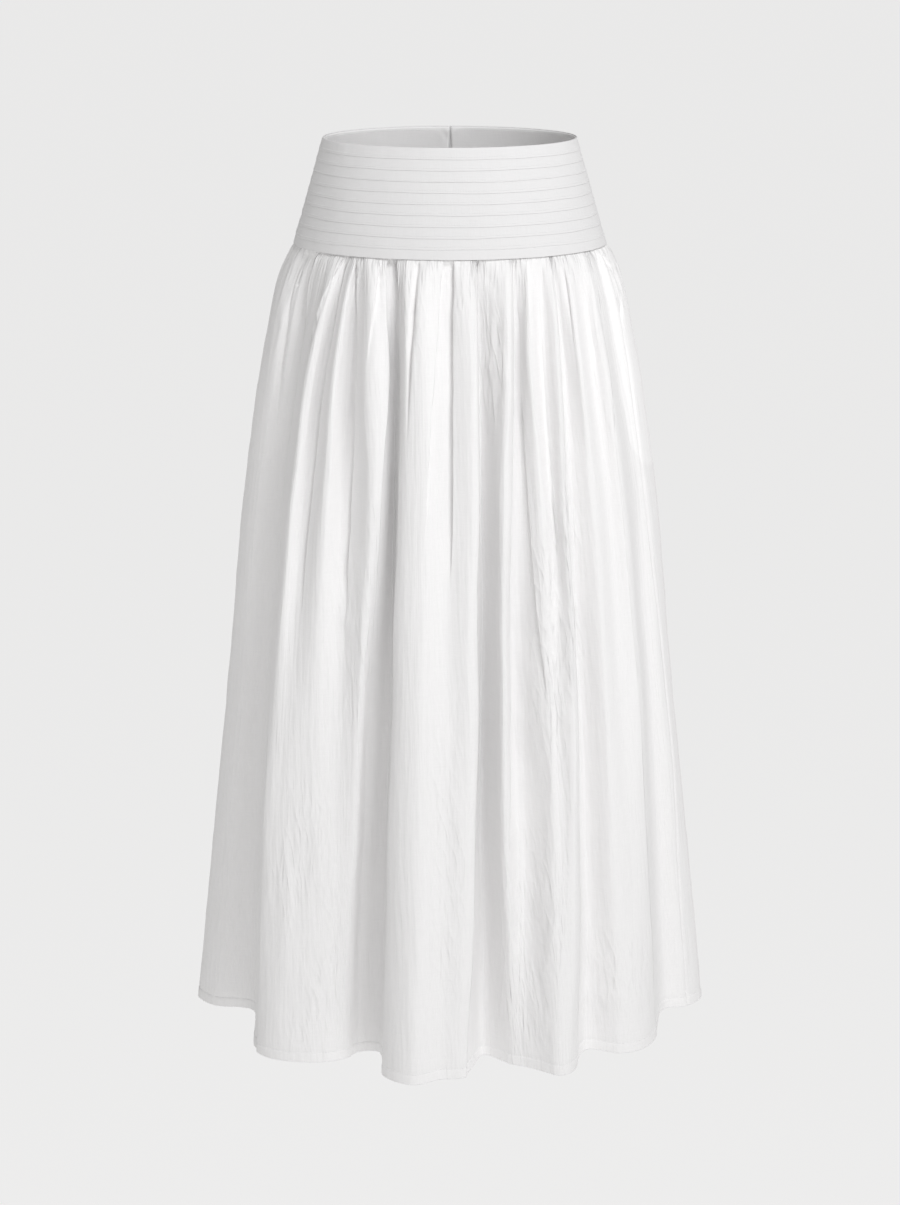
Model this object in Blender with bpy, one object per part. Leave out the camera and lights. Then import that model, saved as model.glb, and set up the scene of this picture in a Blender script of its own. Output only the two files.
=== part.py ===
"""Gathered maxi skirt: a fitted yoke with nine flat tucks, and straight panels gathered into it.

The waist edge is a ring at z = 0 round the origin, the front faces -Y and the hem hangs below.
Every length is in metres, apart from the fold tables, which are in millimetres.
"""

from typing import NamedTuple

import bpy
import numpy as np

MM = 0.001
SEAM_GAP = 0.3 * MM
CLOTH_WALL = 1.3 * MM

# Yoke (the basque): half-width and half-depth of its outer face at the waist edge.
WAIST_HALF_WIDTH = 0.1270
WAIST_HALF_DEPTH = 0.0964
YOKE_DROP = 0.1057
YOKE_WALL = 1.2 * MM
TUCK_COUNT = 9
TUCK_PITCH = 10.6 * MM
FIRST_TUCK_EDGE = 11.4 * MM
TUCK_STAND_OUT = 1.1 * MM
TUCK_LIP = 0.5 * MM
YOKE_FRONT_COLUMNS = 28
FACING_WALL = 1.0 * MM
FACING_DROP = 0.040
FACING_TOP = 0.8 * MM

# Skirt rows below the waist at which the panels carry a row of points, close where the gathers are.
PANEL_ROWS = (0.1065, 0.113, 0.123, 0.140, 0.166, 0.205, 0.260, 0.345, 0.480, 0.680, 0.911)
COLUMN_PITCH = 8.0 * MM
GATHER_PEAK_BELOW_SEAM = 0.026
GATHER_RIPPLE = 2.7 * MM

# Pocket bags, hung inside the front panel from the side seams.
POCKET_TOP = 0.130
POCKET_BOTTOM = 0.330
POCKET_FULL_ROWS = 4
POCKET_CORNER = 0.97
POCKET_CORNER_RISE = 0.050
POCKET_WALL = 1.6 * MM
POCKET_CLEAR = 0.5 * MM

# Hard pieces of the concealed zip, in the frame of the cloth that they lie on.
SLIDER_BELOW_WAIST = 0.0105
SLIDER_WIDTH = 5.4 * MM
SLIDER_HEIGHT = 8.0 * MM
SLIDER_THICKNESS = 2.2 * MM
SLIDER_BEVEL = 0.5 * MM
SLIDER_SHOULDER = 1.2 * MM
BAIL_WIDTH = 1.6 * MM
BAIL_INNER = 0.85 * MM
BAIL_OUTER = 1.65 * MM
BAIL_AXIS_OUT = 1.4 * MM
BAIL_BELOW_MIDDLE = 1.4 * MM
BAIL_SINK = 0.5 * MM
PULL_THICKNESS = 0.9 * MM
PULL_EYE_REACH = 2.1 * MM
PULL_EYE_HALF_WIDTH = 1.15 * MM
PULL_EYE_RIM = 0.8 * MM
PULL_WAIST_SHARE = 0.75
PULL_DROP_RADIUS = 2.7 * MM
PULL_LENGTH = 19.0 * MM
PULL_TILT = np.radians(8.0)
ARC_STEPS = 9


class Level(NamedTuple):
    """One height of the skirt: its name, how far below the waist, and its mean half-sizes."""

    name: str
    below: float
    half_width: float
    half_depth: float


LEVELS = (
    Level("seam", 0.1060, 0.1573, 0.1237),
    Level("gathers", 0.1310, 0.1680, 0.1330),
    Level("hip", 0.2000, 0.1857, 0.1500),
    Level("pocket", 0.3200, 0.2058, 0.1660),
    Level("knee", 0.5500, 0.2295, 0.1880),
    Level("hem", 0.9110, 0.2680, 0.2100),
)


class Fold(NamedTuple):
    """One crest or hollow of the cloth, in millimetres.

    The first numbers are its place across the skirt at the seam, hip, pocket, knee and hem. The
    last four are how far it stands out of the mean ring at the hip, pocket, knee and hem.
    """

    name: str
    seam: float
    hip: float
    pocket: float
    knee: float
    hem: float
    out_hip: float
    out_pocket: float
    out_knee: float
    out_hem: float


FRONT_FOLDS = (
    Fold("left_face", -147, -174, -193, -214, -248, -10, -20, -34, -50),
    Fold("left_recess", -131, -150, -168, -188, -209, -26, -40, -60, -88),
    Fold("first_edge", -107, -133, -152, -177, -200, 14, 16, 14, 8),
    Fold("first_hollow", -99, -121, -139, -160, -181, -14, -6, 10, 18),
    Fold("second_crest", -94, -110, -120, -134, -145, 14, 18, 15, 10),
    Fold("second_hollow", -88, -96, -101, -109, -120, -14, -8, -3, -6),
    Fold("third_crest", -83, -81, -78, -90, -102, 13, 15, 6, -22),
    Fold("third_edge", -68, -63, -65, -80, -94, 9, 8, -12, -32),
    Fold("dark_hollow", -55, -50, -55, -67, -80, -26, -32, -36, -36),
    Fold("middle_left_edge", -40, -38, -43, -54, -67, 8, 12, 18, 24),
    Fold("middle_crest", -23, -22, -25, -31, -36, 14, 20, 31, 41),
    Fold("middle_dip", -4, -4, -3, -2, -10, -10, -3, 22, 26),
    Fold("middle_right_edge", 21, 23, 25, 23, 16, 12, 18, 26, 14),
    Fold("centre_hollow", 30, 34, 38, 40, 39, -16, -28, -37, -43),
    Fold("short_crest", 61, 61, 57, 56, 64, 13, 15, 9, -10),
    Fold("short_hollow", 66, 68, 68, 75, 84, -14, -12, -8, 12),
    Fold("fourth_crest", 76, 79, 88, 98, 107, 8, 9, 13, 31),
    Fold("fourth_dip", 87, 91, 100, 108, 116, -9, -2, 12, 33),
    Fold("fourth_edge", 97, 106, 112, 123, 125, 13, 18, 26, 26),
    Fold("fourth_hollow", 103, 115, 121, 133, 146, -12, -12, -14, -18),
    Fold("fifth_crest", 112, 125, 139, 156, 174, 9, 9, 8, 0),
    Fold("fifth_dip", 122, 138, 153, 172, 193, -6, -4, 3, 7),
    Fold("fifth_edge", 132, 150, 168, 188, 210, 8, 10, 13, 0),
    Fold("right_recess", 140, 162, 181, 202, 225, -16, -26, -44, -74),
    Fold("right_face", 149, 176, 195, 217, 250, -8, -14, -24, -44),
)
BACK_FOLDS = (
    Fold("back_right_face", 147, 173, 191, 216, 250, -8, -12, -20, -34),
    Fold("back_right_recess", 136, 158, 175, 197, 223, -20, -30, -46, -68),
    Fold("back_first_edge", 126, 145, 160, 181, 206, 8, 12, 14, 3),
    Fold("back_first_crest", 113, 129, 142, 159, 177, 12, 15, 16, 12),
    Fold("back_first_dip", 104, 117, 130, 145, 161, -9, -6, 2, 8),
    Fold("back_first_end", 95, 105, 117, 129, 144, 10, 12, 14, 10),
    Fold("back_first_hollow", 85, 93, 103, 112, 123, -15, -22, -30, -34),
    Fold("back_second_edge", 76, 81, 90, 98, 106, 10, 14, 20, 22),
    Fold("back_second_crest", 62, 66, 72, 78, 84, 14, 18, 27, 36),
    Fold("back_second_dip", 51, 54, 58, 63, 66, -9, -3, 12, 28),
    Fold("back_second_end", 41, 43, 45, 48, 46, 10, 13, 20, 20),
    Fold("back_centre_hollow", 29, 28, 28, 27, 24, -15, -23, -34, -40),
    Fold("back_centre_edge", 16, 15, 14, 12, 8, 8, 12, 18, 16),
    Fold("centre_back", 0, 0, 0, 0, 0, 6, 10, 22, 31),
    Fold("back_centre_dip", -13, -14, -16, -18, -20, -6, 0, 14, 30),
    Fold("back_centre_end", -26, -28, -32, -36, -40, 10, 14, 18, 18),
    Fold("back_third_hollow", -38, -42, -48, -55, -64, -16, -24, -34, -42),
    Fold("back_third_edge", -49, -54, -61, -70, -84, 8, 13, 17, 14),
    Fold("back_third_crest", -62, -70, -80, -92, -109, 14, 20, 28, 32),
    Fold("back_third_dip", -74, -84, -94, -107, -124, -9, -5, 10, 24),
    Fold("back_third_end", -86, -98, -108, -121, -138, 10, 12, 16, 10),
    Fold("back_fourth_hollow", -97, -111, -122, -137, -156, -14, -20, -27, -32),
    Fold("back_fourth_edge", -107, -123, -136, -151, -174, 8, 10, 10, 2),
    Fold("back_fourth_crest", -121, -139, -153, -169, -194, 8, 11, 13, 9),
    Fold("back_fourth_end", -131, -151, -167, -186, -212, 7, 8, 10, 0),
    Fold("back_left_recess", -140, -163, -181, -203, -229, -16, -24, -42, -68),
    Fold("back_left_face", -149, -175, -194, -218, -252, -8, -12, -22, -42),
)
LINE_COUNT = len(FRONT_FOLDS) + len(BACK_FOLDS) + 2
RIGHT_SIDE = len(FRONT_FOLDS) + 1
CENTRE_BACK = RIGHT_SIDE + 1 + [fold.name for fold in BACK_FOLDS].index("centre_back")
LEFT_POCKET_END = 1 + [fold.name for fold in FRONT_FOLDS].index("left_recess")
RIGHT_POCKET_END = 1 + [fold.name for fold in FRONT_FOLDS].index("right_recess")
GATHER_SHARE_OF_HIP = 0.45
GATHER_SHIFT_TO_HIP = 0.35

# Furrows between the gathers, in degrees round the front seam from the left side; the back repeats them.
FURROW_DEGREES = (
    0, 7, 13, 20, 26, 31, 36, 42, 48, 52, 57, 64, 67, 72, 77, 83, 87,
    91, 96, 100, 104, 108, 113, 116, 120, 124, 129, 134, 138, 143, 149, 155, 162, 168, 174, 180,
)  # fmt: skip
FURROW_WIDEST_DEGREES = 7.0


def down_curve(values, below):
    """Smooth curve down the skirt through one row of values for each level, read at the heights below.

    Between two levels it is a cubic whose slope at a level is that of the parabola through it and
    its neighbours.
    """
    at = np.array([level.below for level in LEVELS])
    steps = np.diff(at)[:, None]
    rises = np.diff(values, axis=0) / steps
    slopes = np.empty_like(values)
    slopes[1:-1] = (rises[:-1] * steps[1:] + rises[1:] * steps[:-1]) / (steps[1:] + steps[:-1])
    slopes[0] = rises[0]
    slopes[-1] = rises[-1]
    index = np.clip(np.searchsorted(at, below) - 1, 0, len(at) - 2)
    step = steps[index]
    t = ((below - at[index]) / step[:, 0])[:, None]
    return (
        values[index] * (1 + 2 * t) * (1 - t) ** 2
        + values[index + 1] * t**2 * (3 - 2 * t)
        + slopes[index] * step * t * (1 - t) ** 2
        - slopes[index + 1] * step * t**2 * (1 - t)
    )


def fold_table(folds):
    """Places across and stand-outs of these folds in metres, one row for each level."""
    across = []
    out = []
    for fold in folds:
        gathers = fold.seam + GATHER_SHIFT_TO_HIP * (fold.hip - fold.seam)
        across.append((fold.seam, gathers, fold.hip, fold.pocket, fold.knee, fold.hem))
        first = GATHER_SHARE_OF_HIP * fold.out_hip
        out.append((0, first, fold.out_hip, fold.out_pocket, fold.out_knee, fold.out_hem))
    return np.array(across).T * MM, np.array(out).T * MM


def fold_lines(below):
    """Points of every fold line in plan at these heights, anticlockwise from the left side seam.

    A line stands at its place across, on the mean ellipse of its height and its stand-out beyond it.
    """
    sizes = down_curve(np.array([(level.half_width, level.half_depth) for level in LEVELS]), below)
    half_width = sizes[:, :1]
    half_depth = sizes[:, 1:]
    points = np.zeros((len(below), LINE_COUNT, 2))
    points[:, 0, 0] = -half_width[:, 0]
    points[:, RIGHT_SIDE, 0] = half_width[:, 0]
    for folds, first, facing in ((FRONT_FOLDS, 1, -1), (BACK_FOLDS, RIGHT_SIDE + 1, 1)):
        across, out = fold_table(folds)
        across = down_curve(across, below)
        out = down_curve(out, below)
        ring = half_depth * np.sqrt(np.maximum(1 - (across / half_width) ** 2, 0))
        points[:, first : first + len(folds), 0] = across
        points[:, first : first + len(folds), 1] = facing * (ring + out)
    return points


def plan_curve(lines, places):
    """Closed smooth curve through the fold lines of each row, and its direction, at these places.

    A place counts fold lines: 3.5 is half way between line 3 and line 4. Each stretch is a cubic
    whose end slopes are weighted by the square roots of the distances to the neighbours.
    """
    index = np.floor(places).astype(int)
    t = (places - index)[None, :, None]
    before, start, end, after = (lines[:, (index + k) % LINE_COUNT] for k in (-1, 0, 1, 2))
    gap_before, gap, gap_after = (
        np.sqrt(np.linalg.norm(b - a, axis=2, keepdims=True))
        for a, b in ((before, start), (start, end), (end, after))
    )
    slope_start = gap * (
        (start - before) / gap_before - (end - before) / (gap_before + gap) + (end - start) / gap
    )
    slope_end = gap * (
        (end - start) / gap - (after - start) / (gap + gap_after) + (after - end) / gap_after
    )
    points = (
        start * (1 + 2 * t) * (1 - t) ** 2
        + end * t**2 * (3 - 2 * t)
        + slope_start * t * (1 - t) ** 2
        - slope_end * t**2 * (1 - t)
    )
    direction = (
        6 * t * (1 - t) * (end - start)
        + slope_start * (1 - t) * (1 - 3 * t)
        + slope_end * t * (3 * t - 2)
    )
    return points, direction / np.linalg.norm(direction, axis=2, keepdims=True)


def column_places():
    """Places of all columns of points round the skirt, in each stretch as many as its length needs."""
    lines = fold_lines(np.array([level.below for level in LEVELS[2:]]))
    lengths = np.linalg.norm(np.roll(lines, -1, axis=1) - lines, axis=2).mean(axis=0)
    counts = np.maximum(2, np.round(lengths / COLUMN_PITCH)).astype(int)
    stretches = [line + np.arange(count) / count for line, count in enumerate(counts)]
    return np.concatenate(stretches + [[LINE_COUNT]])


def gather_ripple(places, below):
    """Outward move of each point by the small gathers below the seam.

    A gather is one wave between two furrows, as deep as its width allows. The waves grow from
    nothing at the seam to their full depth a little below it and die out further down.
    """
    seam, _ = plan_curve(fold_lines(np.array([LEVELS[0].below])), places)
    sizes = np.array([LEVELS[0].half_width, LEVELS[0].half_depth])
    x, y = (seam[0] / sizes).T
    degrees = np.degrees(np.arctan2(y, x)) + 180
    half_turn = np.minimum(np.floor(degrees / 180), 1)
    furrows = np.array(FURROW_DEGREES, float)
    wave = np.interp(degrees - 180 * half_turn, furrows, np.arange(len(furrows)))
    number = np.minimum(wave.astype(int), len(furrows) - 2)
    width = np.diff(furrows)[number]
    uneven = 0.8 + 0.2 * np.cos(2.4 * (number + 5 * half_turn))
    depth = GATHER_RIPPLE * uneven * np.minimum(width / FURROW_WIDEST_DEGREES, 1) ** 2
    down = np.maximum(below - LEVELS[0].below, 0) / GATHER_PEAK_BELOW_SEAM
    growth = np.sqrt(down) * np.exp(0.5 * (1 - down))
    return growth[:, None] * depth * -np.cos(2 * np.pi * wave)


def cloth(places, below, inward=0.0):
    """Grid of points of the skirt's cloth, a row for each height, moved inward by a distance."""
    points, direction = plan_curve(fold_lines(below), places)
    outward = np.stack([direction[..., 1], -direction[..., 0]], axis=2)
    points = points + outward * (gather_ripple(places, below) - inward)[..., None]
    heights = np.broadcast_to(-below[:, None, None], points.shape[:2] + (1,))
    return np.concatenate([points, heights], axis=2)


def set_edges_back(grid, distance):
    """Moves the first and last column of a grid towards their neighbours, in plan."""
    for edge, next_column in ((0, 1), (-1, -2)):
        step = grid[:, next_column, :2] - grid[:, edge, :2]
        grid[:, edge, :2] += distance * step / np.linalg.norm(step, axis=1, keepdims=True)
    return grid


def shell_object(name, outer, inner, material):
    """Closed wall between two grids of points with the same columns and top and bottom rows.

    Columns run anticlockwise seen from above and rows run down. The grids may differ in rows.
    """
    columns = outer.shape[1]
    outer_rows = outer.shape[0]
    inner_rows = inner.shape[0]
    first_inner = outer_rows * columns

    def out(row, column):
        return row * columns + column

    def ins(row, column):
        return first_inner + row * columns + column

    faces = []
    for row in range(outer_rows - 1):
        for k in range(columns - 1):
            faces.append((out(row, k), out(row + 1, k), out(row + 1, k + 1), out(row, k + 1)))
    for row in range(inner_rows - 1):
        for k in range(columns - 1):
            faces.append((ins(row, k), ins(row, k + 1), ins(row + 1, k + 1), ins(row + 1, k)))
    low_out = outer_rows - 1
    low_in = inner_rows - 1
    for k in range(columns - 1):
        faces.append((out(0, k), out(0, k + 1), ins(0, k + 1), ins(0, k)))
        faces.append((out(low_out, k), ins(low_in, k), ins(low_in, k + 1), out(low_out, k + 1)))
    last = columns - 1
    if inner_rows == outer_rows:
        for row in range(outer_rows - 1):
            faces.append((out(row, 0), ins(row, 0), ins(row + 1, 0), out(row + 1, 0)))
            faces.append((out(row, last), out(row + 1, last), ins(row + 1, last), ins(row, last)))
    else:
        down_outer = [out(row, 0) for row in range(outer_rows)]
        up_inner = [ins(row, 0) for row in reversed(range(inner_rows))]
        faces.append(tuple(reversed(down_outer + up_inner)))
        down_outer = [out(row, last) for row in range(outer_rows)]
        up_inner = [ins(row, last) for row in reversed(range(inner_rows))]
        faces.append(tuple(down_outer + up_inner))
    vertices = np.concatenate([outer.reshape(-1, 3), inner.reshape(-1, 3)])
    return mesh_object(name, vertices.tolist(), faces, material)


def mesh_object(name, vertices, faces, material):
    """Object with this mesh, smooth but for edges over 40 degrees."""
    mesh = bpy.data.meshes.new(name)
    mesh.from_pydata(vertices, [], faces)
    mesh.materials.append(material)
    mesh.shade_smooth()
    mesh.set_sharp_from_angle(angle=np.radians(40))
    made = bpy.data.objects.new(name, mesh)
    bpy.context.scene.collection.objects.link(made)
    return made


def plain_material(name, colour, roughness, metallic=0.0):
    """Principled material with one colour."""
    material = bpy.data.materials.new(name)
    material.use_nodes = True
    shader = material.node_tree.nodes["Principled BSDF"]
    shader.inputs["Base Color"].default_value = (*colour, 1.0)
    shader.inputs["Roughness"].default_value = roughness
    shader.inputs["Metallic"].default_value = metallic
    return material


def skirt_panel(name, places, start, end, material):
    """One gathered panel between two fold lines that carry seams."""
    columns = places[(places >= start) & (places <= end)]
    below = np.array(PANEL_ROWS)
    outer = set_edges_back(cloth(columns, below), SEAM_GAP / 2)
    inner = set_edges_back(cloth(columns, below, CLOTH_WALL), SEAM_GAP / 2)
    return shell_object(name, outer, inner, material)


def pocket_bag(name, places, start, end, material):
    """Flat bag made from the front panel's own points between two fold lines, moved inward.

    It hangs from the side seam. Each column ends a little higher than the one nearer the seam, as
    a quarter of an ellipse does, so the lower corner away from the seam is rounded.
    """
    columns = places[(places >= start) & (places <= end)]
    rows = np.array([row for row in PANEL_ROWS if POCKET_TOP <= row])[: POCKET_FULL_ROWS + 1]
    seam_side = start if start == 0 else end
    reach = np.abs(columns - seam_side) / (end - start)
    corner = np.sqrt(1 - (POCKET_CORNER * reach) ** 2)
    last_step = rows[-1] - rows[-2]
    share = (POCKET_BOTTOM - rows[-2] - POCKET_CORNER_RISE * (1 - corner)) / last_step
    walls = []
    for inward in (CLOTH_WALL + POCKET_CLEAR, CLOTH_WALL + POCKET_CLEAR + POCKET_WALL):
        grid = cloth(columns, rows, inward)
        grid[-1] = grid[-2] + share[:, None] * (grid[-1] - grid[-2])
        walls.append(set_edges_back(grid, SEAM_GAP))
    return shell_object(name, walls[0], walls[1], material)


def yoke_ring(below, degrees, outward=0.0):
    """Points of the yoke's outer face at one depth, moved outward. Its half-sizes grow evenly down."""
    share = below / YOKE_DROP
    half_width = WAIST_HALF_WIDTH + share * (LEVELS[0].half_width - WAIST_HALF_WIDTH) + outward
    half_depth = WAIST_HALF_DEPTH + share * (LEVELS[0].half_depth - WAIST_HALF_DEPTH) + outward
    turn = np.radians(degrees)
    return np.stack(
        [-half_width * np.cos(turn), -half_depth * np.sin(turn), np.full(len(turn), -below)], axis=1
    )


def yoke_profile():
    """Depths and stand-outs down the outer face: each tuck swells to its lower edge and steps back."""
    profile = [(0.0, 0.0)]
    for tuck in range(TUCK_COUNT):
        edge = FIRST_TUCK_EDGE + tuck * TUCK_PITCH
        profile.append((edge - TUCK_LIP, TUCK_STAND_OUT))
        profile.append((edge, 0.0))
    profile.append((YOKE_DROP, 0.0))
    return profile


def yoke_piece(name, start_degrees, end_degrees, columns, material):
    """One piece of the yoke between two seams, tucked outside and plain inside."""
    degrees = np.linspace(start_degrees, end_degrees, columns + 1)
    outer = np.stack([yoke_ring(below, degrees, out) for below, out in yoke_profile()])
    inner = np.stack([yoke_ring(below, degrees, -YOKE_WALL) for below in (0.0, YOKE_DROP)])
    outer = set_edges_back(outer, SEAM_GAP / 2)
    inner = set_edges_back(inner, SEAM_GAP / 2)
    return shell_object(name, outer, inner, material)


def facing_piece(name, start_degrees, end_degrees, columns, material):
    """Plain strip just inside the yoke's waist edge."""
    degrees = np.linspace(start_degrees, end_degrees, columns + 1)
    walls = []
    for inward in (YOKE_WALL + SEAM_GAP, YOKE_WALL + SEAM_GAP + FACING_WALL):
        rings = [yoke_ring(below, degrees, -inward) for below in (FACING_TOP, FACING_DROP)]
        walls.append(set_edges_back(np.stack(rings), SEAM_GAP / 2))
    return shell_object(name, walls[0], walls[1], material)


def arc(centre, radius, start_degrees, end_degrees):
    """Points along an arc of a circle, both ends included."""
    turns = np.radians(np.linspace(start_degrees, end_degrees, ARC_STEPS + 1))
    return [(centre[0] + radius * np.cos(turn), centre[1] + radius * np.sin(turn)) for turn in turns]


def prism(name, outline, half, point, material):
    """Closed prism of an anticlockwise outline, as far on each side of its plane as half.

    point turns a place in the outline's plane and a depth along its normal into x, y and z.
    """
    count = len(outline)
    vertices = [point(a, b, depth) for depth in (-half, half) for a, b in outline]
    faces = [tuple(reversed(range(count))), tuple(range(count, 2 * count))]
    for k in range(count):
        after = (k + 1) % count
        faces.append((k, after, count + after, count + k))
    return mesh_object(name, vertices, faces, material)


def add_boolean(target, tool, operation):
    """Joins the tool to the target or cuts it out, and keeps the tool as a hidden child."""
    tool.hide_render = True
    tool.display_type = "WIRE"
    tool.parent = target
    modifier = target.modifiers.new(tool.name, "BOOLEAN")
    modifier.operation = operation
    modifier.object = tool


def zip_slider(material):
    """Slider body with its bail: an arch round the pull's cross bar that stands on the body's face."""

    def side_view(y, z, x):
        return (x, y, z)

    top = SLIDER_HEIGHT / 2
    shoulder = top - SLIDER_SHOULDER
    back = -SLIDER_THICKNESS
    body = [(back, -top), (-SLIDER_BEVEL, -top), (0, -shoulder)]
    body += [(0, shoulder), (-SLIDER_BEVEL, top), (back, top)]
    slider = prism("zip_slider", body, SLIDER_WIDTH / 2, side_view, material)
    bar = (BAIL_AXIS_OUT, -BAIL_BELOW_MIDDLE)
    arch = [(-BAIL_SINK, bar[1] - BAIL_OUTER)] + arc(bar, BAIL_OUTER, -90, 90)
    arch += [(-BAIL_SINK, bar[1] + BAIL_OUTER), (-BAIL_SINK, bar[1] + BAIL_INNER)]
    arch += arc(bar, BAIL_INNER, 90, -90) + [(-BAIL_SINK, bar[1] - BAIL_INNER)]
    bail = prism("bail", arch, BAIL_WIDTH / 2, side_view, material)
    add_boolean(slider, bail, "UNION")
    return slider


def zip_pull(material):
    """Drop-shaped tab with an eye, its cross bar on the local X axis, hanging down from it."""

    def front_view(x, z, depth):
        return (x, -depth, z)

    top = PULL_THICKNESS / 2
    stem = PULL_EYE_HALF_WIDTH + PULL_EYE_RIM
    rim_end = -PULL_EYE_REACH - PULL_EYE_RIM
    waist_end = 2 * rim_end
    waist = PULL_WAIST_SHARE * stem
    left = [(-stem, top), (-stem, rim_end), (-waist, waist_end)]
    drop = arc((0, PULL_DROP_RADIUS - PULL_LENGTH), PULL_DROP_RADIUS, 180, 360)
    right = [(-x, z) for x, z in reversed(left)]
    pull = prism("zip_pull", left + drop + right, top, front_view, material)
    side = PULL_EYE_HALF_WIDTH
    eye = [(-side, -top), (-side, -PULL_EYE_REACH), (side, -PULL_EYE_REACH), (side, -top)]
    cutter = prism("pull_eye", eye, PULL_THICKNESS, front_view, material)
    add_boolean(pull, cutter, "DIFFERENCE")
    return pull


def place_zip(material):
    """Slider on the centre-back seam under the waist edge, and the pull hanging in its bail."""
    lean = np.arctan2(LEVELS[0].half_depth - WAIST_HALF_DEPTH, YOKE_DROP)
    share = SLIDER_BELOW_WAIST / YOKE_DROP
    cloth_face = WAIST_HALF_DEPTH + share * (LEVELS[0].half_depth - WAIST_HALF_DEPTH) + TUCK_STAND_OUT
    stand = SLIDER_THICKNESS + SEAM_GAP
    seat = np.array([0.0, cloth_face + stand * np.cos(lean), -SLIDER_BELOW_WAIST + stand * np.sin(lean)])
    slider = zip_slider(material)
    slider.location = seat
    slider.rotation_euler = (lean, 0, 0)
    pull = zip_pull(material)
    out = np.array([0.0, np.cos(lean), np.sin(lean)])
    up = np.array([0.0, -np.sin(lean), np.cos(lean)])
    pull.location = seat + out * BAIL_AXIS_OUT - up * BAIL_BELOW_MIDDLE
    pull.rotation_euler = (lean - PULL_TILT, 0, 0)


def main():
    """Clears the scene and builds the skirt's pieces."""
    for old in list(bpy.data.objects):
        bpy.data.objects.remove(old, do_unlink=True)
    cotton = plain_material("white_cotton", (0.86, 0.86, 0.85), 0.85)
    facing = plain_material("facing_cotton", (0.80, 0.80, 0.79), 0.85)
    metal = plain_material("painted_zinc", (0.88, 0.88, 0.87), 0.35)
    places = column_places()
    skirt_panel("skirt_front", places, 0, RIGHT_SIDE, cotton)
    skirt_panel("skirt_back_right", places, RIGHT_SIDE, CENTRE_BACK, cotton)
    skirt_panel("skirt_back_left", places, CENTRE_BACK, LINE_COUNT, cotton)
    pocket_bag("pocket_left", places, 0, LEFT_POCKET_END, cotton)
    pocket_bag("pocket_right", places, RIGHT_POCKET_END, RIGHT_SIDE, cotton)
    half = YOKE_FRONT_COLUMNS // 2
    yoke_piece("basque_front", 0, 180, YOKE_FRONT_COLUMNS, cotton)
    yoke_piece("basque_back_right", 180, 270, half, cotton)
    yoke_piece("basque_back_left", 270, 360, half, cotton)
    facing_piece("facing_front", 0, 180, YOKE_FRONT_COLUMNS, facing)
    facing_piece("facing_back_right", 180, 270, half, facing)
    facing_piece("facing_back_left", 270, 360, half, facing)
    place_zip(metal)


main()
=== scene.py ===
"""Looks of a white cotton maxi skirt with a tucked yoke and gathered panels, built round its frame.

Lengths are in metres. Those of the fold, crease, pleat, patch and unevenness tables are in
millimetres. The waist edge is a ring at z = 0 round the origin, the front faces -Y and the hem
hangs below.
"""

from __future__ import annotations

import logging
from collections.abc import Sequence
from dataclasses import dataclass, field
from enum import Enum
from typing import NamedTuple

import bpy
import numpy as np
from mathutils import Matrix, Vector

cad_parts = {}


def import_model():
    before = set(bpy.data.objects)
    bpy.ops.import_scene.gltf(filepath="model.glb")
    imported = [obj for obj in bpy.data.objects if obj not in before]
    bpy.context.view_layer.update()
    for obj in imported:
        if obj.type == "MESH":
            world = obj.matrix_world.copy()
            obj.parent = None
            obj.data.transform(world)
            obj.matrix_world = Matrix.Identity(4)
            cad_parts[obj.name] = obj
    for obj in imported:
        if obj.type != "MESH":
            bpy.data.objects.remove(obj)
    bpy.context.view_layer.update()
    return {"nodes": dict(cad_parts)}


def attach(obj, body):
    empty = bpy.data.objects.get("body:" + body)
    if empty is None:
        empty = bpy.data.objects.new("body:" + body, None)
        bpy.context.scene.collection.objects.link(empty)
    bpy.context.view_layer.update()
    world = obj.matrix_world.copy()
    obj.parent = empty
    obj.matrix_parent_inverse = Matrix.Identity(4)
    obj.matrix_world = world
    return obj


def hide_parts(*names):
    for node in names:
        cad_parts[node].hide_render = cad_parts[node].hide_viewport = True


LOG = logging.getLogger("maxi_skirt")
MM = 0.001
GARMENT = "garment"
SEAM_GAP = 0.3 * MM

# Yoke sizes, as in the solids.
WAIST_HALF_WIDTH = 0.1270
WAIST_HALF_DEPTH = 0.0964
YOKE_DROP = 0.1057
YOKE_WALL = 1.2 * MM
TUCK_COUNT = 9
TUCK_PITCH = 10.6 * MM
FIRST_TUCK_EDGE = 11.4 * MM
TUCK_STAND_OUT = 1.1 * MM
FACING_WALL = 1.0 * MM
FACING_DROP = 0.040
FACING_TOP = 0.8 * MM

# Panel sizes, as in the solids.
CLOTH_WALL = 1.3 * MM
HEM_BELOW = 0.911
GATHER_PEAK_BELOW_SEAM = 0.026
GATHER_RIPPLE = 2.7 * MM
GATHER_SHARE_OF_HIP = 0.45
GATHER_SHIFT_TO_HIP = 0.35

# Pocket sizes, as in the solids but for the top, which is 10 mm lower here.
POCKET_TOP = 0.140
POCKET_BOTTOM = 0.330
POCKET_CORNER = 0.97
POCKET_CORNER_RISE = 0.050
POCKET_WALL = 1.6 * MM
POCKET_CLEAR = 0.5 * MM


class Level(NamedTuple):
    """One height of the skirt: its name, how far below the waist, and its mean half-sizes."""

    name: str
    below: float
    half_width: float
    half_depth: float


class Fold(NamedTuple):
    """One crest or hollow of the cloth, in millimetres.

    The first numbers are its place across the skirt at the seam, hip, pocket, knee and hem. The
    last four are how far it stands out of the mean ring at the hip, pocket, knee and hem.
    """

    name: str
    seam: float
    hip: float
    pocket: float
    knee: float
    hem: float
    out_hip: float
    out_pocket: float
    out_knee: float
    out_hem: float


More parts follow.
